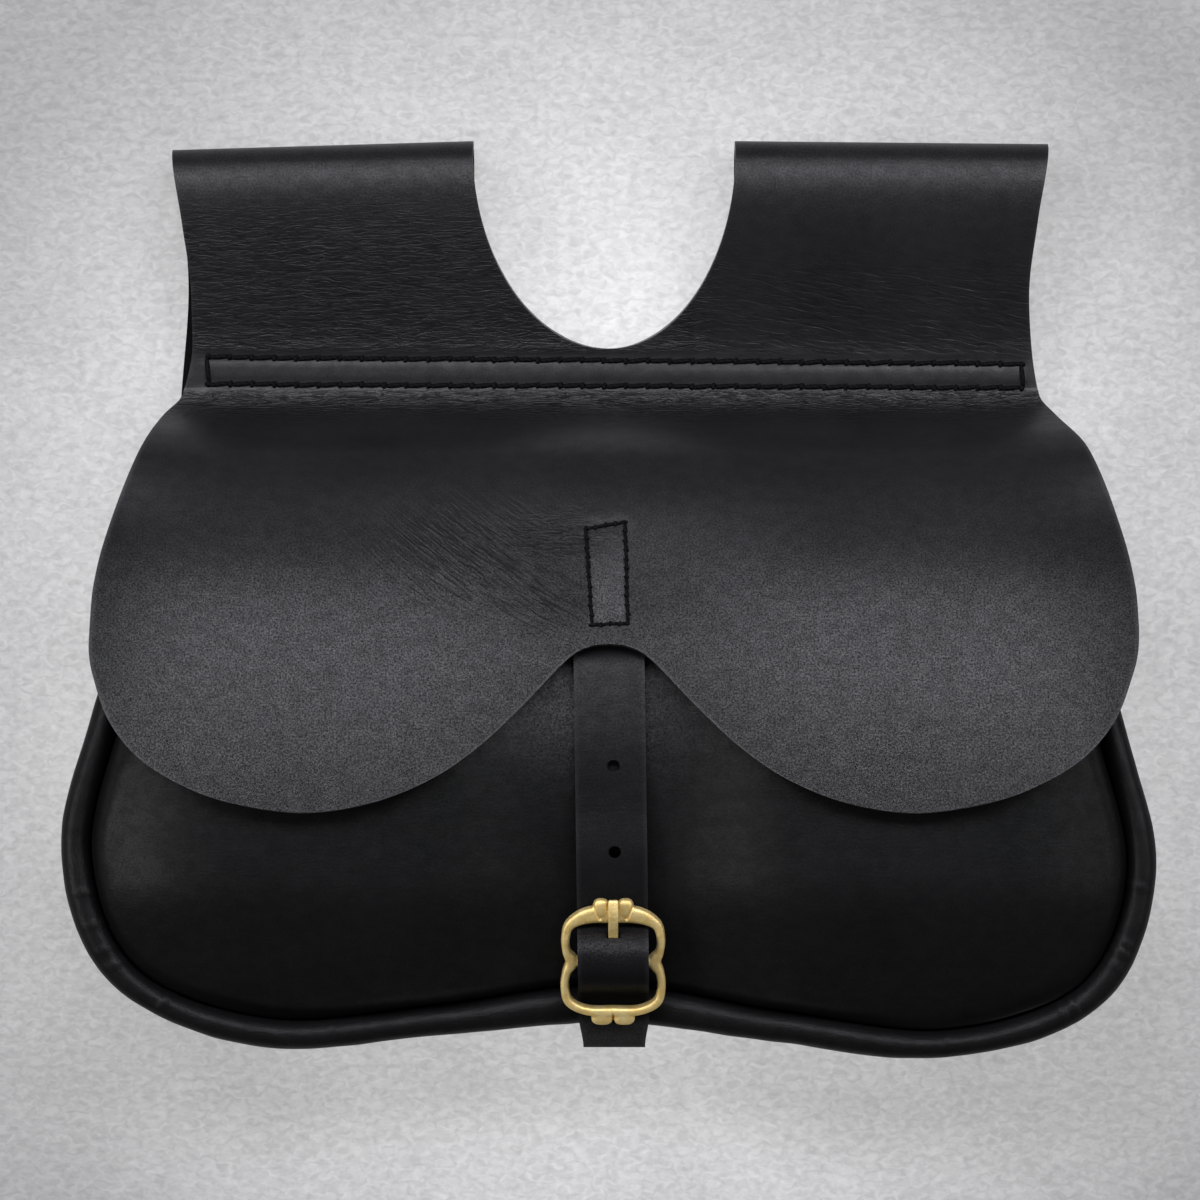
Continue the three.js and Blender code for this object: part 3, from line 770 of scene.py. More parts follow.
def leather(tree, dark, light, worn, rough, gloss):
    """Black leather: open pores, fine grain, wrinkles where the masks ask for them and paler cut edges. Its
    shine carries painted shade in the pores and wrinkle hollows, and painted light and shade from a mask.
    """
    names = (*PLACE_FIELDS, *MASK_FIELDS)
    fields = {key: add(tree, "Attribute", {}, attribute_name=key) for key in names}
    pattern, fan = (fields[key].outputs["Vector"] for key in PLACE_FIELDS)
    edge, crease, drag, open_pores, polish = (fields[key].outputs["Fac"] for key in MASK_FIELDS)

    pore_places = {"Vector": spread(pattern, PORE_SPACING), "Scale": 1.0, "Randomness": 1.0}
    pores = add(tree, "TexVoronoi", pore_places, feature="F1").outputs["Distance"]
    grain = cloudy(pattern, size=0.22, detail=2.0)
    level = cloudy(pattern, size=(4.8, 1.0, 5), detail=2.5, warp=1.5)
    slant = cloudy(fan, size=(7.5, 1.0, 9), detail=3.0, warp=0.9)
    patch = cloudy(pattern, size=24, detail=4.0)
    blotch = cloudy(pattern, size=(4, 3, 4), detail=4.0)
    mottle = cloudy(pattern, size=0.5, detail=2.0)
    either_side = add(tree, "Math", {0: mottle, 1: 0.5}, operation="SUBTRACT").outputs[0]
    fleck = times(either_side, open_pores)
    pits = low_places(pores, open_pores, full=0.15, none=0.5)
    hollow = low_places(level, crease, full=0.38, none=0.52)
    furrow = low_places(slant, drag, full=0.36, none=0.5)

    normal = bump(pits, strength=-0.6, depth=0.14)
    normal = bump(times(grain, open_pores), strength=0.8, depth=0.08, under=normal)
    normal = bump(times(level, crease), strength=0.9, depth=0.75, under=normal)
    normal = bump(times(slant, drag), strength=0.9, depth=0.5, under=normal)

    # Painted light and shade: a mask sets the shine, and painted shade dims it in the wrinkle hollows, the
    # furrows and the pores
    shine = times(polish, gloss)
    for dip, share in ((hollow, HOLLOW_SHINE), (furrow, FURROW_SHINE), (pits, PIT_SHINE)):
        shine = times(shine, ranged(dip, 0.0, 1.0, 1.0, share))
    for uneven, low, high, share in ((blotch, 0.3, 0.7, BLOTCH_SHINE), (fleck, -0.2, 0.2, FLECK_SHINE)):
        shine = times(shine, ranged(uneven, low, high, 1 - share, 1 + share))
    # Worn cut edges are paler
    worn_edge_and_painted_highlight = {"Factor": times(edge, grain), "A": between(patch, 0.3, 0.75, dark, light), "B": (*worn, 1)}
    return {
        "Base Color": add(tree, "Mix", worn_edge_and_painted_highlight, data_type="RGBA").outputs[2],
        "Roughness": ranged(grain, 0.3, 0.7, rough - GRAIN_SHINE, rough + GRAIN_SHINE),
        "Normal": normal,
        "Specular IOR Level": shine,
    }


def flesh_side(tree):
    """The rough inner side of black leather."""
    nap = cloudy(object_place(tree), size=0.5, detail=4.0)
    return {
        "Base Color": between(nap, 0.3, 0.7, grey(0.002), grey(0.006)),
        "Roughness": ranged(nap, 0.2, 0.8, 0.8, 0.95),
        "Normal": bump(nap, strength=0.6, depth=0.3),
        "Specular IOR Level": 0.05,
    }


def brass(tree):
    """Pale cast brass: tumbled satin, slightly browner in patches."""
    place = object_place(tree)
    patch = cloudy(place, size=3, detail=4.0)
    tumbled = cloudy(place, size=0.7, detail=3.0)
    return {
        "Base Color": between(patch, 0.35, 0.65, (0.79, 0.59, 0.22), (0.90, 0.73, 0.35)),
        "Roughness": ranged(tumbled, 0.2, 0.8, 0.52, 0.68),
        "Normal": bump(tumbled, strength=0.35, depth=0.16),
        "Metallic": 0.9,
    }


def waxed_thread(tree):
    """Black two-ply thread with a waxy shine."""
    twist = {"Vector": spread(object_place(tree), 1), "Scale": 0.35, "Distortion": 0.6}
    ply = add(tree, "TexWave", twist, bands_direction="DIAGONAL").outputs["Fac"]
    return {
        "Base Color": between(ply, 0.0, 1.0, (0.002, 0.002, 0.0024), (0.006, 0.006, 0.007)),
        "Roughness": ranged(ply, 0.0, 1.0, 0.55, 0.72),
        "Normal": bump(ply, strength=0.5, depth=0.15),
        "Specular IOR Level": 0.04,
    }


# Each leather has tones for its dark and light places and its worn edges
FLAP_LEATHER = new_material(
    "flap_leather",
    leather,
    dark=(0.0060, 0.0060, 0.0068),
    light=(0.0095, 0.0095, 0.0108),
    worn=(0.06, 0.06, 0.064),
    rough=0.39,
    gloss=0.34,
)
# Darker and less glossy than the flap's leather: painted shade, for the front panel that lies in the flap's
# shadow
BODY_LEATHER = new_material(
    "body_leather",
    leather,
    dark=(0.0030, 0.0030, 0.0032),
    light=(0.0046, 0.0046, 0.0049),
    worn=(0.04, 0.04, 0.042),
    rough=0.45,
    gloss=0.13,
)
# Less glossy than the flap's leather: painted shade that darkens the whole strap, standing in for its tilt
# away from the light
STRAP_LEATHER = new_material(
    "strap_leather",
    leather,
    dark=(0.0046, 0.0046, 0.0050),
    light=(0.0072, 0.0072, 0.0078),
    worn=(0.02, 0.02, 0.021),
    rough=0.42,
    gloss=0.14,
)
FLESH_SIDE = new_material("flesh_side", flesh_side)
BRASS = new_material("cast_brass", brass)
THREAD = new_material("waxed_thread", waxed_thread)

# Flap with belt loops
flap_lobe = column(FLAP_RISE, "y", "lobe")
flap_middle = column(FLAP_RISE, "y", "middle")
LOOP_FRONT = LOOP_LEAN["along"][-1]


def loop_line():
    """Side view of a loop as distance along the leather, y and z: its front levels off, then bends round."""
    along = np.linspace(0, LOOP_FRONT, 200)
    lean = np.radians(column(LOOP_LEAN, "along", "lean")(along))
    middle = (lean[1:] + lean[:-1]) / 2
    y = BAND_TOP + running(np.cos(middle) * np.diff(along))
    z = FLAP_AT_BAND + running(np.sin(middle) * np.diff(along))
    last = lean[-1]
    radius = (z[-1] - FLAP_WALL / 2) / (1 + math.cos(last))
    turned = np.linspace(last, -math.pi, 100)[1:]
    bend_y = y[-1] + radius * (math.sin(last) - np.sin(turned))
    bend_z = z[-1] + radius * (np.cos(turned) - math.cos(last))
    bend_along = LOOP_FRONT + radius * (last - turned)
    return np.concatenate((along, bend_along)), np.concatenate((y, bend_y)), np.concatenate((z, bend_z))


LOOP_ALONG, LOOP_Y, LOOP_Z = loop_line()
BEND_LENGTH = LOOP_ALONG[-1] - LOOP_FRONT
REAR_LEG = LOOP_Y[-1] - BAND_LOW


def valley(x):
    """How far the middle dents the leather, from 1 at the middle down to 0."""
    return np.exp(-((np.abs(x) / VALLEY_HALF) ** 3))


def flap_height(x, y):
    outward = np.maximum(np.abs(x) - DROOP_FROM, 0) / DROOP_OVER
    droop = SIDE_DROOP * outward**2 * (1 - smoothstep(DROOP_ENDS, BAND_LOW, y))
    return lerp(flap_lobe(y), flap_middle(y), valley(x)) - droop


def loop_profile(along):
    """A place on a loop in side view, with the flat rear leg after the bend."""
    rear = np.maximum(along - LOOP_ALONG[-1], 0)
    return np.interp(along, LOOP_ALONG, LOOP_Y) - rear, np.interp(along, LOOP_ALONG, LOOP_Z)


def sharp_flap_point(x, v, loop):
    """A place on the middle of the leather, v up the flap and then up, over and down the loop."""
    y, z = loop_profile(v - BAND_TOP)
    outer = np.clip((np.abs(x) - loop["cut_half"]) / (LOOP_OUTER - loop["cut_half"]), 0, 1)
    up = np.clip((y - BAND_TOP) / (LOOP_TOP - BAND_TOP), 0, 1)
    on_loop = stacked(x, y - loop["end_drop"] * outer * up, z)
    on_flap = stacked(x, v, flap_height(x, v))
    return np.where((v <= BAND_TOP)[..., None], on_flap, on_loop)


def flap_point(x, v, loop):
    """The same place with the folds above and below the band softened."""
    reach = 2.4
    steps = np.linspace(-reach, reach, 5)
    soft = sum(sharp_flap_point(x, v + step, loop) for step in steps) / len(steps)
    fold = plateau(v, starts=BAND_LOW - 9, full=BAND_LOW, fades=BAND_TOP + 6, ends=BAND_TOP + 12)
    return lerp(sharp_flap_point(x, v, loop), soft, fold[..., None])


def flap_normal(x, v, loop):
    step = 0.6
    across = flap_point(x + step, v, loop) - flap_point(x - step, v, loop)
    along = flap_point(x, v + step, loop) - flap_point(x, v - step, loop)
    return unit(np.cross(across, along))


def leather_run(v):
    """Distance along the leather itself, which is longer than its plan where it is steep."""
    at = np.linspace(-60, BAND_TOP, 400)
    run = running(np.hypot(np.diff(at), np.diff(flap_lobe(at))))
    return np.where(v > BAND_TOP, v, np.interp(v, at, run - run[-1] + BAND_TOP))


def stitch_row(x, row):
    return np.interp(x, BAND_ROWS["x"], BAND_ROWS[row])


def box_distance(x, v):
    """Distance from the lines of the stitched box."""
    corners = np.array(BOX_CORNERS)
    nearest = np.full(np.shape(x), np.inf)
    for a, b in zip(corners, np.roll(corners, -1, axis=0)):
        side = b - a
        share = np.clip(((x - a[0]) * side[0] + (v - a[1]) * side[1]) / (side @ side), 0, 1)
        nearest = np.minimum(nearest, np.hypot(x - a[0] - share * side[0], v - a[1] - share * side[1]))
    return nearest


def level_creases(x, v):
    """Where wrinkles run from side to side: on the left loop, under the band and beside the box."""
    loops = plateau(v, starts=BAND_TOP - 2, full=BAND_TOP + 1, fades=92, ends=112, share=0.55)
    under_band = plateau(v, starts=42, full=51.5, fades=BAND_LOW, ends=BAND_LOW + 2, share=0.75)
    left = 1 - smoothstep(*RIGHT_LOOP_FROM, x)
    return loops * left + under_band + patches(LEVEL_PATCHES, x, v)


def drag_lines(x, v):
    """Where wrinkles slant: where the strap's stitches drag the leather, and on the right loop."""
    loops = plateau(v, starts=BAND_TOP - 3, full=BAND_TOP, fades=80, ends=98, share=0.6)
    return loops * smoothstep(*RIGHT_LOOP_FROM, x) + patches(DRAG_PATCHES, x, v)


def flap_painted_shine(x, v):
    """Painted light and shade in the flap's shine: the lobes keep the full highlight, while the flap's
    slope, the loops and the leather round the box get painted shade. Inside the box the shine stays.
    """
    slope = 1 - plateau(v, starts=-2, full=16, fades=40, ends=48, share=0.36)
    loops = 1 - 0.3 * smoothstep(BAND_TOP + 2, BAND_TOP + 8, v)
    in_box = plateau(x, starts=-5.6, full=-4.6, fades=3.6, ends=4.6) * smoothstep(-7, -6, v)
    by_box = 1 - patches(PAINTED_SHADE_PATCHES, x, v) * (1 - in_box * (v < BOX_INSIDE_TOP))
    return slope * loops * by_box


def drag_place(x, v):
    """Distance along and across slanting wrinkles. They climb outwards on the flap and fall on the loops."""
    aside = np.abs(x)
    climb = np.where(v > BAND_LOW, -LOOP_SLOPE * aside, (DRAG_SLOPE + DRAG_BEND * aside) * aside)
    return x / math.cos(DRAG_TURN), (v - climb) * math.cos(DRAG_TURN)


def sewn_band(x, v):
    """The two stitched rows: a groove along each, and the soft strip that swells between them."""
    first, last = BAND_ROWS["x"]
    upper = stitch_row(x, "upper")
    lower = stitch_row(x, "lower")
    beat = np.cos(2 * math.pi * (x - first) / BAND_PITCH)
    rows = hump(v, upper, GROOVE_HALF) + hump(v, lower, GROOVE_HALF)
    groove = BAND_GROOVE * (1 - GROOVE_BEAT + GROOVE_BEAT * beat) * rows
    above = lower + STRIP_INSET + SCALLOP * beat
    below = upper - STRIP_INSET - SCALLOP * beat
    strip = plateau(v, above, above + STRIP_SOFT, below - STRIP_SOFT, below, BAND_SWELL)
    return (strip - groove) * plateau(x, first - BAND_FADE, first, last, last + BAND_FADE)


def flap_relief(x, v):
    """Creases, stitch grooves and soft waves that stand on the flap's outer face."""
    run = leather_run(v)
    box = -BOX_GROOVE * hump(box_distance(x, v), 0, GROOVE_HALF)
    level = streaks(x, run, *LEVEL_RIDGES) * level_creases(x, v)
    slanted = streaks(*drag_place(x, v), *SLANT_RIDGES) * drag_lines(x, v)
    soft = waves(x, run, *FLAP_WAVES) * (1 - smoothstep(*FLAP_WAVES_END, v))
    return sewn_band(x, v) + box + level + slanted + soft


def half_flap_ends(loop):
    """Outer and inner end of each row across one half, as x and v, and how many rows the lobe has."""
    edge = column(SIDE_EDGE, "along", loop["side"])
    lobe = catmull(stacked(LOBE_EDGE["x"], LOBE_EDGE["y"]), LOBE_STEPS)
    lowest = len(lobe) // 2
    spread_out = np.linspace(1, edge(WIDEST_FLAP) / LOBE_EDGE["x"][0], lowest + 1)
    outer = [lobe[lowest::-1] * stacked(spread_out, np.ones(lowest + 1))]
    inner = [lobe[lowest:]]

    rising = shares(RISE_ROWS)
    outer_v = lerp(LOBE_EDGE["y"][0], BAND_TOP, rising)
    inner_v = lerp(LOBE_EDGE["y"][-1], BAND_TOP, rising)
    outer.append(stacked(edge(outer_v), outer_v))
    inner.append(stacked(np.zeros_like(inner_v), inner_v))

    front = LOOP_FRONT * shares(LOOP_ROWS["front"]) ** 2
    bend = LOOP_FRONT + BEND_LENGTH * shares(LOOP_ROWS["bend"])
    rear = LOOP_FRONT + BEND_LENGTH + REAR_LEG * shares(LOOP_ROWS["rear"])
    along = np.concatenate((front, bend, rear))
    up = np.clip(loop_profile(along)[0] - BAND_TOP, 0, CUT_DEPTH) / CUT_DEPTH
    cut = np.where(along > LOOP_FRONT, 1, np.sqrt(1 - (1 - up) ** 2)) * loop["cut_half"]
    outer.append(stacked(edge(BAND_TOP + along), BAND_TOP + along))
    inner.append(stacked(cut, BAND_TOP + along))
    return np.concatenate(outer), np.concatenate(inner), lowest


def half_flap(loop):
    outer, inner, lobe_rows = half_flap_ends(loop)
    share = np.linspace(0, 1, FLAP_COLUMNS)[None, :]
    x = lerp(outer[:, :1], inner[:, :1], share) * loop["sign"]
    v = lerp(outer[:, 1:], inner[:, 1:], share)
    edge = grid_edge(x.shape, np.s_[:, 0], np.s_[0], np.s_[-1], np.s_[:lobe_rows, -1])
    edge[:, -1] = np.maximum(edge[:, -1], inner[:, 1] > BAND_TOP)
    relief = flap_relief(x, v)[..., None]
    return {
        "points": flap_point(x, v, loop) + flap_normal(x, v, loop) * relief,
        "pattern": flat_place(x, leather_run(v)),
        "fan": flat_place(*drag_place(x, v)),
        "flipped": loop["sign"] < 0,
        "edge": edge * lerp(1.0, 0.25, smoothstep(30, BAND_LOW, v)),
        "crease": level_creases(x, v),
        "drag": drag_lines(x, v),
        "pores": lerp(1.0, SMOOTH_PORES, smoothstep(0, 36, v)) + BEND_PORES * smoothstep(98, 110, v),
        # Painted light and shade in the flap's shine
        "polish": flap_painted_shine(x, v),
    }


def make_flap():
    halves = [half_flap(loop) for loop in LOOPS]
    obj = make_sheet("flap_and_loops", halves, FLAP_LEATHER, FLAP_WALL, FLAP_ROUNDING)
    obj.data.materials.append(FLESH_SIDE)
    obj.data.polygons.foreach_set("material_index", [1] * len(obj.data.polygons))
    obj.modifiers["wall"].material_offset = -1
    obj.modifiers["wall"].material_offset_rim = -1
    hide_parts("flap_with_belt_loops")
    return obj


# Body of the pouch
crown_lobe = column(FRONT_CROWN, "y", "lobe")
crown_middle = column(FRONT_CROWN, "y", "middle")


def seam_stations(count):
    """Places along the front seam, with the matching rear seam and the outward direction."""
    rows = np.stack([FRONT_SEAM[key] for key in ("x", "y", "height")], -1)
    skew = SEAM_SKEW * rows[:, 0] * smoothstep(0, SKEW_OVER, -rows[:, 1])
    lower = skew[:, None] * (0, 1, 0)
    left = rows * (-1, 1, 1) + lower
    right = rows - lower
    line = evenly(catmull(np.concatenate((left, right[-2::-1])), 80), count)
    out = right_hand(np.gradient(line[:, :2], axis=0))
    rise = REAR_RISE * smoothstep(REAR_RISES_FROM, FRONT_SEAM["y"][0], line[:, 1])
    rear = line[:, :2] + out * REAR_OUT + rise[:, None] * (0, 1)
    return {"front": line[:, :2], "rear": rear, "out": out, "height": line[:, 2]}


def pushed_out(points, relief, sign):
    """A grid of points moved along its own normals."""
    turn = np.cross(np.gradient(points, axis=0), np.gradient(points, axis=1)) * sign
    return points + unit(turn) * relief[..., None]


def grid_runs(points):
    """Distances along and across a grid, for its grain."""
    down = np.linalg.norm(np.diff(points, axis=0), axis=-1).mean(axis=1)
    across = np.linalg.norm(np.diff(points, axis=1), axis=-1)
    u = running(down)[:, None] * np.ones(points.shape[1])
    w = np.concatenate((np.zeros((len(points), 1)), np.cumsum(across, axis=1)), axis=1)
    return flat_place(u, w)


def gusset_grid():
    stations = seam_stations(GUSSET_STATIONS)
    front, rear, out, height = (stations[key] for key in ("front", "rear", "out", "height"))
    bulge = BULGE + MIDDLE_BULGE * hump(front[:, 0], 0, MIDDLE_HALF) - BODY_WALL / 2
    level = np.ones_like(height)
    columns = []

    def put(share, outward, z):
        at = lerp(front, rear, share) + out * (outward * level)[:, None]
        columns.append(np.concatenate((at, (z * level)[:, None]), axis=1))

    for sunk in (FLANGE, FLANGE / 2):
        put(0, HALF_SEAM, height - sunk)
    for angle in np.linspace(math.pi, 0, GUSSET_STEPS["front_roll"]):
        outward = lerp(HALF_SEAM, bulge, (1 + math.cos(angle)) / 2)
        put(0, outward, height + ROLL * math.sin(angle))
    for share in shares(GUSSET_STEPS["wall"] + 1)[:-1]:
        tucked = lerp(bulge, HALF_SEAM + 2 * ROLL, smoothstep(0.6, 1, share))
        put(share, tucked, lerp(height, REAR_ROLL, share))
    for angle in np.linspace(0, math.pi, GUSSET_STEPS["rear_roll"]):
        put(1, HALF_SEAM + ROLL * (1 + math.cos(angle)), REAR_ROLL - ROLL * math.sin(angle))
    for sunk in (FLANGE / 2, FLANGE):
        put(1, HALF_SEAM, REAR_ROLL + sunk)
    points = np.stack(columns, axis=1)

    runs = grid_runs(points)
    u, w = runs[..., 0], runs[..., 1]
    relief = waves(u, w, *GUSSET_WAVES) + waves(u, w, *GUSSET_PUCKERS)
    for x, y, depth in zip(*ROLL_CREASES.values()):
        away = np.hypot(front[:, 0] - x, front[:, 1] - y)
        at = u[np.argmin(away), 0]
        slanted = u + CREASE_SLANT * (w - FLANGE)
        relief -= depth * hump(slanted, at, CREASE_HALF) * hump(w, *CREASE_PLACE)
    off_floor = smoothstep(REAR_ROLL, 3 * REAR_ROLL, points[..., 2])
    return {
        "points": pushed_out(points, relief * smoothstep(FLANGE - 1, FLANGE + 3, w) * off_floor, 1),
        "pattern": runs,
        "flipped": False,
        "crease": 0.15,
        "pores": SMOOTH_PORES,
    }


def panel_height(x, y, edge, height):
    """Height of the middle of the front panel's leather, rounding down into the seam."""
    nearest = np.empty_like(x)
    seam = np.empty_like(x)
    for i in range(len(x)):
        away = np.hypot(x[i][:, None] - edge[:, 0], y[i][:, None] - edge[:, 1])
        k = away.argmin(axis=1)
        nearest[i] = away[np.arange(len(k)), k]
        seam[i] = height[k]
    dent = valley(x)
    side_fall = SIDE_FALL * (np.maximum(np.abs(x) - LOBE_X, 0) / FALL_OVER) ** 2
    edge_fall = EDGE_FALL * (1 - dent) * (1 - np.minimum(nearest / EDGE_FALL_OVER, 1)) ** 2
    crown = lerp(crown_lobe(y), crown_middle(y), dent) - side_fall - edge_fall - BODY_WALL / 2
    short = 1 - np.minimum(nearest / EDGE_ROUND, 1)
    return lerp(seam, crown, np.sqrt(1 - short**2)), nearest


def front_panel_grid():
    count = FRONT_STATIONS
    finer = 4
    fine = seam_stations(finer * (count - 1) + 1)
    fine_edge = fine["front"] - fine["out"] * HALF_SEAM
    edge = fine_edge[::finer]
    height = fine["height"][::finer]
    mouth = stacked(MOUTH_HALF * np.linspace(-1, 1, count), np.full(count, MOUTH_Y))
    length = np.linalg.norm(mouth - edge, axis=1)[:, None]
    rounding = EDGE_ROUND * np.minimum(1, length / FULL_ROUND_FROM)
    round_steps = rounding * (1 - np.cos(math.pi / 2 * shares(FRONT_STEPS["round"])))
    inner_steps = lerp(round_steps[:, -1:], length, shares(FRONT_STEPS["inner"]) ** FRONT_CROWDING)
    share = np.concatenate((round_steps, inner_steps), axis=1) / length
    x = lerp(edge[:, :1], mouth[:, :1], share)
    y = lerp(edge[:, 1:], mouth[:, 1:], share)
    z, away = panel_height(x, y, fine_edge, fine["height"])
    sunk = (FLANGE, FLANGE / 2, 0)
    flange = [np.concatenate((edge, (height - depth)[:, None]), axis=1) for depth in sunk]
    points = np.concatenate((np.stack(flange, axis=1), stacked(x, y, z)), axis=1)
    away = np.concatenate((np.zeros((count, len(sunk))), away), axis=1)
    runs = grid_runs(points)
    puckers = waves(runs[..., 0], away, *FRONT_PUCKERS) * hump(away, *PUCKERS_AT)
    relief = waves(points[..., 0], points[..., 1], *FRONT_WAVES) + puckers
    # A painted highlight on the front near the strap, with more open pores
    worn_edge_and_painted_highlight = patches(FRONT_PAINTED_HIGHLIGHT, points[..., 0], points[..., 1])
    return {
        "points": pushed_out(points, relief * smoothstep(0, FLANGE, away), -1),
        "pattern": points,
        "flipped": False,
        "edge": grid_edge(away.shape, np.s_[:, -1]),
        "crease": 0.06,
        "pores": lerp(SMOOTH_PORES, 1.0, worn_edge_and_painted_highlight),
        "polish": 1.0 + PAINTED_HIGHLIGHT_GAIN * worn_edge_and_painted_highlight,
    }


def back_panel_grid():
    count = BACK_STATIONS
    stations = seam_stations(count)
    share = np.linspace(-1, 1, count)
    edge = stations["rear"] - stations["out"] * HALF_SEAM
    columns = []

    def put(at, z):
        columns.append(np.concatenate((at, np.full((count, 1), z)), axis=1))

    put(edge, REAR_ROLL + FLANGE)
    for angle in np.linspace(0, math.pi / 2, BACK_STEPS["round"]):
        put(edge + stations["out"] * (ROLL * (math.cos(angle) - 1)), REAR_ROLL - ROLL * math.sin(angle))
    foot = edge - stations["out"] * ROLL
    level = stacked(BACK_LEVEL_HALF * share, np.full(count, float(BACK_RISES_FROM)))
    for step in shares(BACK_STEPS["level"]):
        put(lerp(foot, level, step), BODY_WALL / 2)
    for y in BACK_RISING_YS:
        half = lerp(BACK_LEVEL_HALF, BACK_TOP_HALF, (y - BACK_RISES_FROM) / (BAND_TOP - BACK_RISES_FROM))
        rise = smoothstep(BACK_RISES_FROM, BACK_LIFTED_BY, y)
        put(stacked(half * share, np.full(count, y)), lerp(BODY_WALL / 2, BACK_AT_BAND, rise))
    points = np.stack(columns, axis=1)
    return {"points": points, "pattern": points, "flipped": True, "crease": 0.1, "pores": SMOOTH_PORES}


def make_body():
    made = []
    for name, grid, node in (
        ("pouch_front", front_panel_grid(), "front_panel"),
        ("pouch_gusset", gusset_grid(), "gusset"),
        ("pouch_back", back_panel_grid(), "back_panel"),
    ):
        obj = make_sheet(name, [grid], BODY_LEATHER, BODY_WALL, BODY_ROUNDING)
        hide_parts(node)
        made.append(obj)
    return made


# Strap, chape and buckle
def strap_x(y):
    return (STRAP_UPRIGHT_Y - y) * STRAP_LEAN


BUCKLE_PLACE = Matrix.Translation((strap_x(BAR_Y), BAR_Y, BAR_Z)) @ Matrix.Rotation(BUCKLE_TILT, 4, "X")


def from_buckle(*places):
    """Side view of places given in the buckle's own flat frame, as y and z."""
    return [tuple(BUCKLE_PLACE @ Vector((0, up, off)))[1:] for up, off in places]


def strip_line(places, count):
    return evenly(catmull(places, 40, power=0.5), count)


def strap_width(y):
    """The strap narrows a little at its tail."""
    start, end = STRAP_TAPER_YS
    return STRAP_WIDTH - STRAP_NARROWER * smoothstep(-start, -end, -y)


def strip_grid(line, width, columns, polish):
    """A strip of leather along a line of places in side view, with a width and a painted shine for each
    place.
    """
    share = np.linspace(-0.5, 0.5, columns)
    y = np.repeat(line[:, :1], columns, axis=1)
    z = np.repeat(line[:, 1:], columns, axis=1)
    run = np.repeat(travel(line)[:, None], columns, axis=1)
    across = share * width[:, None]
    return {
        "points": stacked(strap_x(y) + across, y, z),
        "pattern": flat_place(across, run),
        "flipped": True,
        "edge": grid_edge(y.shape, np.s_[:, 0], np.s_[:, -1], np.s_[0], np.s_[-1]),
        "crease": 0.06,
        "pores": 0.5 + 0.5 * hump(y, BAR_Y, 6),
        "polish": polish[:, None],
    }


strap_painted_shine = column(STRAP_PAINTED_SHINE, "y", "polish")


def strap_line():
    under_flap = [(y, flap_middle(y) - (FLAP_WALL + STRAP_WALL) / 2 - PIECE_GAP) for y in STRAP_SEWN_YS]
    on_front = [(y, crown_middle(y) + STRAP_WALL / 2 + PIECE_GAP + STRAP_SLACK) for y in STRAP_LYING_YS]
    over_chape = (CHAPE_TOP, crown_middle(CHAPE_TOP) + STRAP_WALL / 2 + CHAPE_WALL + 2 * PIECE_GAP)
    in_buckle = from_buckle(*STRAP_IN_BUCKLE)
    return strip_line([*under_flap, *on_front, over_chape, *in_buckle, STRAP_END], STRAP_ROWS)


def chape_line():
    fold_radius = BAR_RADIUS + LAYER_GAP + CHAPE_WALL / 2
    on_front = [(y, crown_middle(y) + CHAPE_WALL / 2 + CHAPE_GAP) for y in CHAPE_LYING_YS]
    fold = [math.radians(angle) for angle in (270, 225, 180, 135, 90, 45)]
    round_bar = [(fold_radius * math.cos(a), fold_radius * math.sin(a)) for a in fold]
    return strip_line([*on_front, *from_buckle(CHAPE_START, *round_bar, *CHAPE_END)], CHAPE_ROWS)


def loose_mesh(name, build):
    """A bare object from a bmesh function that works in millimetres."""
    shape = bmesh.new()
    build(shape)
    bmesh.ops.transform(shape, matrix=Matrix.Scale(MM, 4), verts=shape.verts)
    bmesh.ops.translate(shape, vec=(0, -DRAWING_MIDDLE * MM, 0), verts=shape.verts)
    mesh = bpy.data.meshes.new(name)
    shape.to_mesh(mesh)
    shape.free()
    return placed(name, mesh)


def rod(shape, radius, length, matrix, sides=32):
    bmesh.ops.create_cone(
        shape, cap_ends=True, segments=sides, radius1=radius, radius2=radius, depth=length, matrix=matrix
    )


def hole_punches(line):
    """One rod across the strap for each of its holes."""
    punches = []
    for y in HOLE_YS:
        k = int(np.argmax(line[:, 0] < y))
        slope = math.atan2(line[k, 1] - line[k - 1, 1], line[k, 0] - line[k - 1, 0])
        place = Matrix.Translation((strap_x(y) + HOLE_ASIDE, line[k, 0], line[k, 1]))
        turned = place @ Matrix.Rotation(math.pi + slope, 4, "X")
        punches.append(loose_mesh("punch", lambda shape: rod(shape, HOLE_RADIUS, 3 * STRAP_WALL, turned)))
    return punches


def tongue_outline(clearance):
    """Side view of the tongue: an eye round the middle bar and a prong up to the top bar."""
    eye = TONGUE_EYE + clearance
    top = [(up, off + clearance) for up, off in TONGUE_TOP]
    tip = (TONGUE_TIP[0] + clearance, TONGUE_TIP[1])
    under = [(up, off - clearance) for up, off in TONGUE_UNDER]
    angles = np.linspace(TONGUE_JOINS, TONGUE_LEAVES - 2 * math.pi, 40)
    return [*top, tip, *under, *((eye * math.cos(a), eye * math.sin(a)) for a in angles)]


def tongue_body(name, clearance):
    half = TONGUE_WIDTH / 2 + clearance

    def build(shape):
        outline = [BUCKLE_PLACE @ Vector((-half, up, off)) for up, off in tongue_outline(clearance)]
        side = shape.faces.new([shape.verts.new(place) for place in outline])
        grown = bmesh.ops.extrude_face_region(shape, geom=[side])["geom"]
        far = [item for item in grown if isinstance(item, bmesh.types.BMVert)]
        bmesh.ops.translate(shape, vec=(2 * half, 0, 0), verts=far)
        bmesh.ops.recalc_face_normals(shape, faces=shape.faces)

    return loose_mesh(name, build)


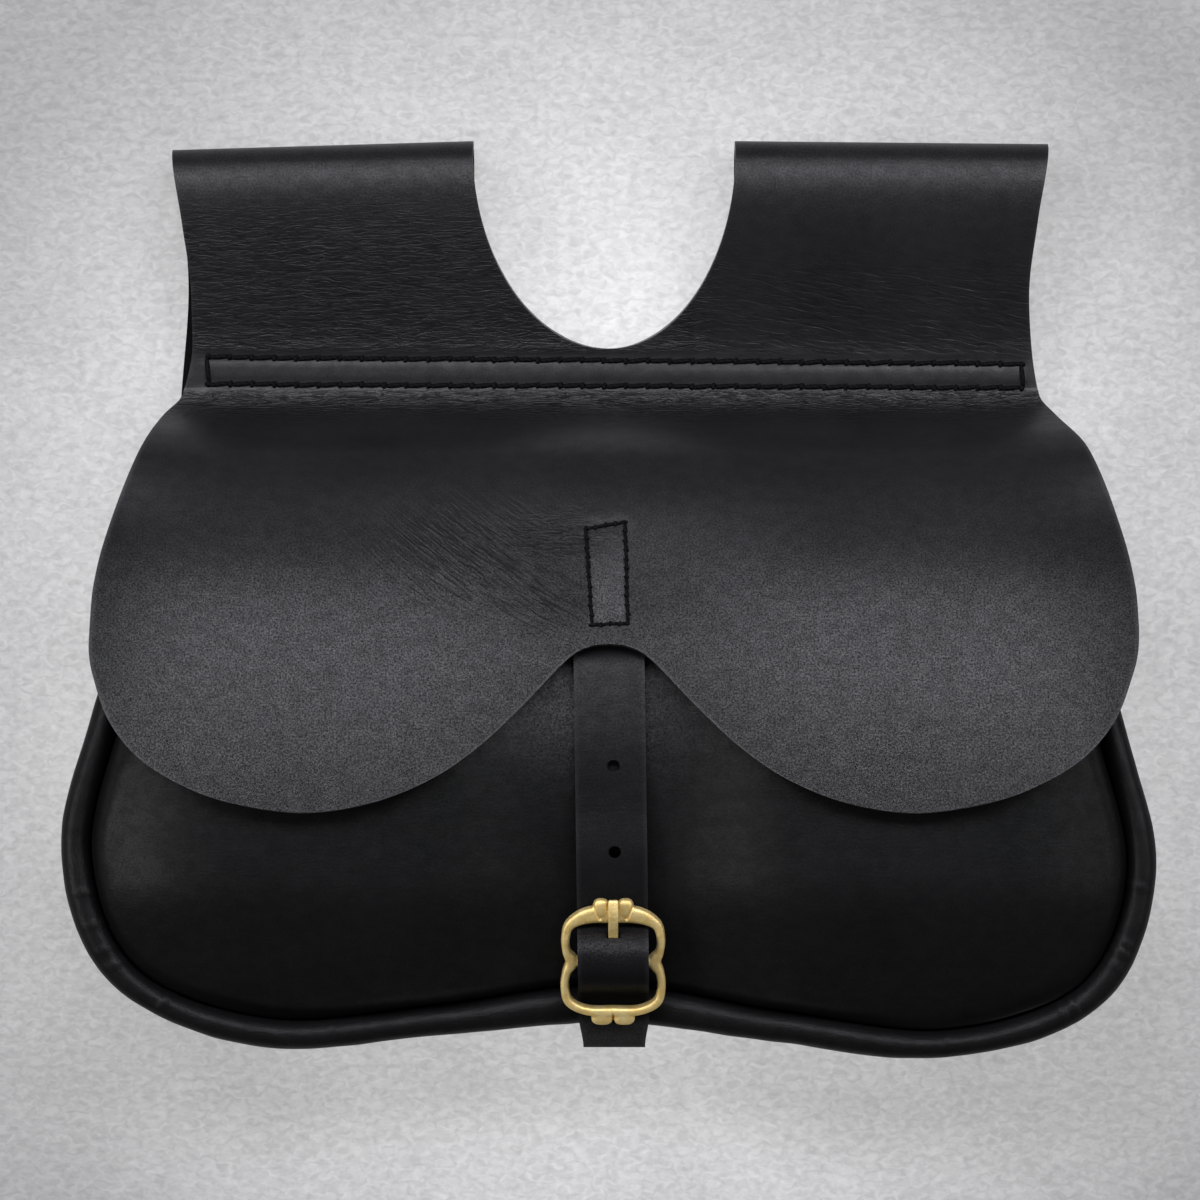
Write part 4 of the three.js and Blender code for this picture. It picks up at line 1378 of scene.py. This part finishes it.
def make_strap():
    line = strap_line()
    y = line[:, 0]
    grid = strip_grid(line, strap_width(y), STRAP_COLUMNS, strap_painted_shine(y))
    cutters = [*hole_punches(line), tongue_body("slot", TONGUE_CLEARANCE)]
    obj = make_sheet("strap", [grid], STRAP_LEATHER, STRAP_WALL, STRAP_ROUNDING, cutters)
    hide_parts("closing_strap")
    return obj


def make_chape():
    line = chape_line()
    level = np.ones(len(line))
    grid = strip_grid(line, CHAPE_WIDTH * level, CHAPE_COLUMNS, level)
    cutters = [tongue_body("slot", CHAPE_SLOT)]
    obj = make_sheet("chape", [grid], STRAP_LEATHER, CHAPE_WALL, CHAPE_ROUNDING, cutters)
    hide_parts("buckle_chape")
    return obj


def frame_ring(shape):
    """The buckle's frame as a closed ring of changing width with flattened faces."""
    sides = 24
    right = np.stack([FRAME_HALF[key] for key in ("x", "up", "width")], -1)
    left = right[-2:0:-1] * (-1, 1, 1)
    ring = catmull(np.concatenate((right, left)), 16, closed=True)
    out = right_hand(np.roll(ring[:, :2], -1, axis=0) - np.roll(ring[:, :2], 1, axis=0))
    angle = np.linspace(0, 2 * math.pi, sides, endpoint=False)
    flat = stacked(np.cos(angle), np.sin(angle))
    flat = np.sign(flat) * np.abs(flat) ** FRAME_SQUARENESS
    reach = ring[:, 2:] / 2 * flat[None, :, 0]
    xy = ring[:, None, :2] + out[:, None, :] * reach[..., None]
    depth = np.broadcast_to(FRAME_DEPTH / 2 * flat[:, 1], reach.shape)
    points = np.concatenate((xy, depth[..., None]), axis=2).reshape(-1, 3)
    corners = [shape.verts.new(point) for point in points]
    for quad in grid_faces(len(ring), sides, 0, False, closed=(0, 1)):
        shape.faces.new([corners[k] for k in quad])


def knops(shape):
    """Low cushions: balls whose sides are pushed out towards a box."""
    for x, up, off, *halves in zip(*KNOPS.values()):
        for side in (-1, 1):
            ball = bmesh.ops.create_uvsphere(shape, u_segments=28, v_segments=18, radius=1)
            for corner in ball["verts"]:
                boxed = [math.copysign(abs(value) ** KNOP_POWER, value) for value in corner.co]
                middle = (side * x, up, off)
                corner.co = [at + half * value for at, half, value in zip(middle, halves, boxed)]


def score(points, start, end, depth, half):
    """Presses a narrow groove into the front of the frame along a line given in its flat frame."""
    a = np.array(start)
    side = np.array(end) - a
    flat = points[:, :2] - a
    share = np.clip(flat @ side / (side @ side), 0, 1)
    away = np.linalg.norm(flat - share[:, None] * side, axis=1)
    points[:, 2] -= depth * hump(away, 0, half) * (points[:, 2] > 0)


def make_buckle():
    def build(shape):
        frame_ring(shape)
        rod(shape, BAR_RADIUS, 2 * BAR_HALF, Matrix.Rotation(math.pi / 2, 4, "Y"))
        knops(shape)
        bmesh.ops.recalc_face_normals(shape, faces=shape.faces)

    obj = loose_mesh("buckle", build)
    remesh = obj.modifiers.new("cast", "REMESH")
    remesh.mode = "VOXEL"
    remesh.voxel_size = CAST_VOXEL * MM
    smooth = obj.modifiers.new("tumbled", "SMOOTH")
    smooth.factor = 0.5
    smooth.iterations = 4
    settle(obj)
    points = np.empty(len(obj.data.vertices) * 3)
    obj.data.vertices.foreach_get("co", points)
    points = points.reshape(-1, 3) / MM + (0, DRAWING_MIDDLE, 0)
    for start, end in KNOP_GROOVES:
        for side in (-1, 1):
            score(points, (side * start[0], start[1]), (side * end[0], end[1]), **KNOP_GROOVE)
    turned = points @ np.array(BUCKLE_PLACE.to_3x3()).T + np.array(BUCKLE_PLACE.translation)
    obj.data.vertices.foreach_set("co", to_metres(turned).ravel())
    obj.data.materials.append(BRASS)
    obj.data.shade_smooth()
    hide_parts("buckle_frame")
    return obj


def make_tongue():
    obj = tongue_body("tongue", 0)
    across = BUCKLE_PLACE @ Matrix.Rotation(math.pi / 2, 4, "Y")
    cut_away(obj, [loose_mesh("bore", lambda shape: rod(shape, TONGUE_BORE, 3 * TONGUE_WIDTH, across))])
    round_edges(obj, TONGUE_ROUNDING)
    obj.data.materials.append(BRASS)
    obj.data.shade_smooth()
    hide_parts("buckle_tongue")
    return obj


# Stitches
def on_flap(x, v):
    """Outer face of the flap at a place, and the direction out of it."""
    x, v = np.atleast_1d(x).astype(float), np.atleast_1d(v).astype(float)
    out = flap_normal(x, v, LOOPS[0])
    face = flap_point(x, v, LOOPS[0]) + out * (FLAP_WALL / 2 + flap_relief(x, v)[:, None])
    return face, out


def one_stitch(start, end, radius):
    """A short thread that leaves one hole, lies on the leather and goes down the next."""
    rings = 9
    sides = 8
    share = np.linspace(0, 1, rings)
    place = lerp(np.array(start), np.array(end), share[:, None])
    face, out = on_flap(place[:, 0], place[:, 1])
    arch = np.sin(math.pi * share) ** 0.5
    centre = face + out * (radius * (STITCH_RISE * arch - STITCH_SINK))[:, None]
    side = np.cross(unit(np.gradient(centre, axis=0)), out)
    angle = np.linspace(0, 2 * math.pi, sides, endpoint=False)
    thick = radius * (1 - STITCH_TAPER + STITCH_TAPER * arch)[:, None, None]
    ring = np.cos(angle)[None, :, None] * side[:, None] + np.sin(angle)[None, :, None] * out[:, None]
    return centre[:, None] + thick * ring


def stitch_line(start, end, pitch, radius, slant, seed):
    """Saddle stitches along a line, each a little askew, with a knot of thread in each hole."""
    start, end = np.array(start), np.array(end)
    length = np.linalg.norm(end - start)
    along = (end - start) / length
    aside = np.array((-along[1], along[0]))
    count = max(1, round(length / pitch))
    strays = np.random.default_rng(seed).uniform(-HAND_SEWN, HAND_SEWN, (count + 1, 2))
    holes = lerp(start, end, np.linspace(0, 1, count + 1)[:, None]) + strays
    lean = aside * KNOT_ACROSS * radius + along * KNOT_ALONG * radius
    for hole, following in zip(holes, holes[1:]):
        yield one_stitch(hole - aside * slant, following + aside * slant, radius)
        yield one_stitch(hole - lean, hole + lean, KNOT_SHARE * radius)


def stitches(name, tubes):
    """One object from many short closed tubes."""
    points = []
    faces = []
    for tube in tubes:
        rings, sides = tube.shape[:2]
        first = len(points)
        last = first + (rings - 1) * sides
        points.extend(to_metres(tube.reshape(-1, 3)))
        faces.extend(grid_faces(rings, sides, first, False, closed=(1,)).tolist())
        faces.append([first + j for j in reversed(range(sides))])
        faces.append([last + j for j in range(sides)])
    mesh = bpy.data.meshes.new(name)
    mesh.from_pydata(points, [], faces)
    return new_object(name, mesh, THREAD)


def sewn_round(corners, pitch, radius, slant):
    """Stitches along each side of a shape, from corner to corner."""
    for seed, (a, b) in enumerate(zip(corners, corners[1:] + corners[:1])):
        yield from stitch_line(a, b, pitch, radius, slant, seed)


def make_stitches():
    ends = (("lower", 0), ("upper", 0), ("upper", 1), ("lower", 1))
    corners = [(BAND_ROWS["x"][end], BAND_ROWS[row][end]) for row, end in ends]
    band = sewn_round(corners, BAND_PITCH, BAND_THREAD, BAND_SLANT)
    box = sewn_round(BOX_CORNERS, BOX_PITCH, BOX_THREAD, BOX_SLANT)
    return [stitches("band_stitches", band), stitches("strap_stitches", box)]


# Floor, light and camera. The floor glows with painted light, like a lit table, so shadows on it stay faint,
# and a painted pool of light makes it palest under the pouch and darker further out
FLOOR_HALF = 6.0
FLOOR_DROP = 0.0004
GLOW_SHARE = 0.62
PAPER_SHARE = 0.32
GLOW_Y = -0.012
GLOW_REACH = (0.08, 0.21)
NEAR_TONE = 0.83
FAR_TONE = 0.39

# Each light: name, place in metres, size, watts and colour
WHITE = (1, 1, 1)
COOL_WHITE = (0.94, 0.93, 1.0)
LIGHTS = (
    ("key", (0.05, 0.75, 1.28), (3.4, 0.5), 43, COOL_WHITE),
    ("left", (-1.1, -0.15, 0.8), (0.5, 0.5), 6, WHITE),
    ("right", (1.1, -0.15, 0.8), (0.5, 0.5), 1.5, WHITE),
)
WORLD_STRENGTH = 0.15


def paper(tree):
    """Pale paper that glows with painted light, as if lit from below, in a painted pool of light brightest
    under the pouch.
    """
    place = object_place(tree)
    aside = add(tree, "VectorMath", {0: place, 1: (0, GLOW_Y, 0)}, operation="SUBTRACT").outputs["Vector"]
    away = add(tree, "VectorMath", {0: aside}, operation="LENGTH").outputs["Value"]
    fibres = ranged(cloudy(place, size=(2.6, 1.7, 2), detail=6.0, warp=0.8), 0.0, 1.0, 0.75, 1.25)
    clouds = ranged(cloudy(place, size=30, detail=2.0), 0.2, 0.8, 0.95, 1.05)
    # Painted pool of light: paler near the pouch, darker further away
    painted_pool = between(away, *GLOW_REACH, grey(NEAR_TONE), grey(FAR_TONE))
    speck = {0: painted_pool, "Scale": times(fibres, clouds)}
    tone = add(tree, "VectorMath", speck, operation="SCALE").outputs["Vector"]
    dimmed = add(tree, "VectorMath", {0: tone, "Scale": PAPER_SHARE}, operation="SCALE").outputs["Vector"]
    # The paper glows with painted light, and reflects light with a smaller share of the same tone
    return {
        "Base Color": dimmed,
        "Emission Color": tone,
        "Emission Strength": GLOW_SHARE,
        "Roughness": 0.85,
    }


def make_floor():
    mesh = bpy.data.meshes.new("floor")
    corners = [(FLOOR_HALF * x, FLOOR_HALF * y, 0) for x, y in ((-1, -1), (1, -1), (1, 1), (-1, 1))]
    mesh.from_pydata(corners, [], [(0, 1, 2, 3)])
    mesh.materials.append(new_material("glowing_paper", paper))
    obj = placed("floor", mesh)
    obj.location.z = -FLOOR_DROP


def soft_box(name, location, size, watts, colour):
    """A rectangular light that faces the middle of the floor."""
    light = bpy.data.lights.new(name, "AREA")
    light.color = colour
    light.shape = "RECTANGLE"
    light.size, light.size_y = size
    light.energy = watts
    obj = placed(name, light)
    obj.location = location
    obj.rotation_euler = (-Vector(location)).to_track_quat("-Z", "Y").to_euler()


def make_light():
    for light in LIGHTS:
        soft_box(*light)
    world = bpy.data.worlds.new("studio")
    world.use_nodes = True
    sky = {"Color": (*WHITE, 1), "Strength": WORLD_STRENGTH}
    feed(world.node_tree, world.node_tree.nodes["Background"], sky)
    bpy.context.scene.world = world
    bpy.context.scene.view_settings.view_transform = "Standard"


def make_camera():
    camera = bpy.data.cameras.new("camera")
    camera.sensor_width = 36
    camera.lens = CAMERA_PIXELS / PHOTO_PIXELS * camera.sensor_width
    obj = placed("camera", camera)
    obj.location = to_metres((CAMERA_X, 0, CAMERA_HEIGHT))
    bpy.context.scene.camera = obj


leathers = [make_flap(), *make_body(), make_strap(), make_chape()]
made = [*leathers, make_buckle(), make_tongue(), *make_stitches()]
for piece in made:
    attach(piece, "root")
make_floor()
make_light()
make_camera()
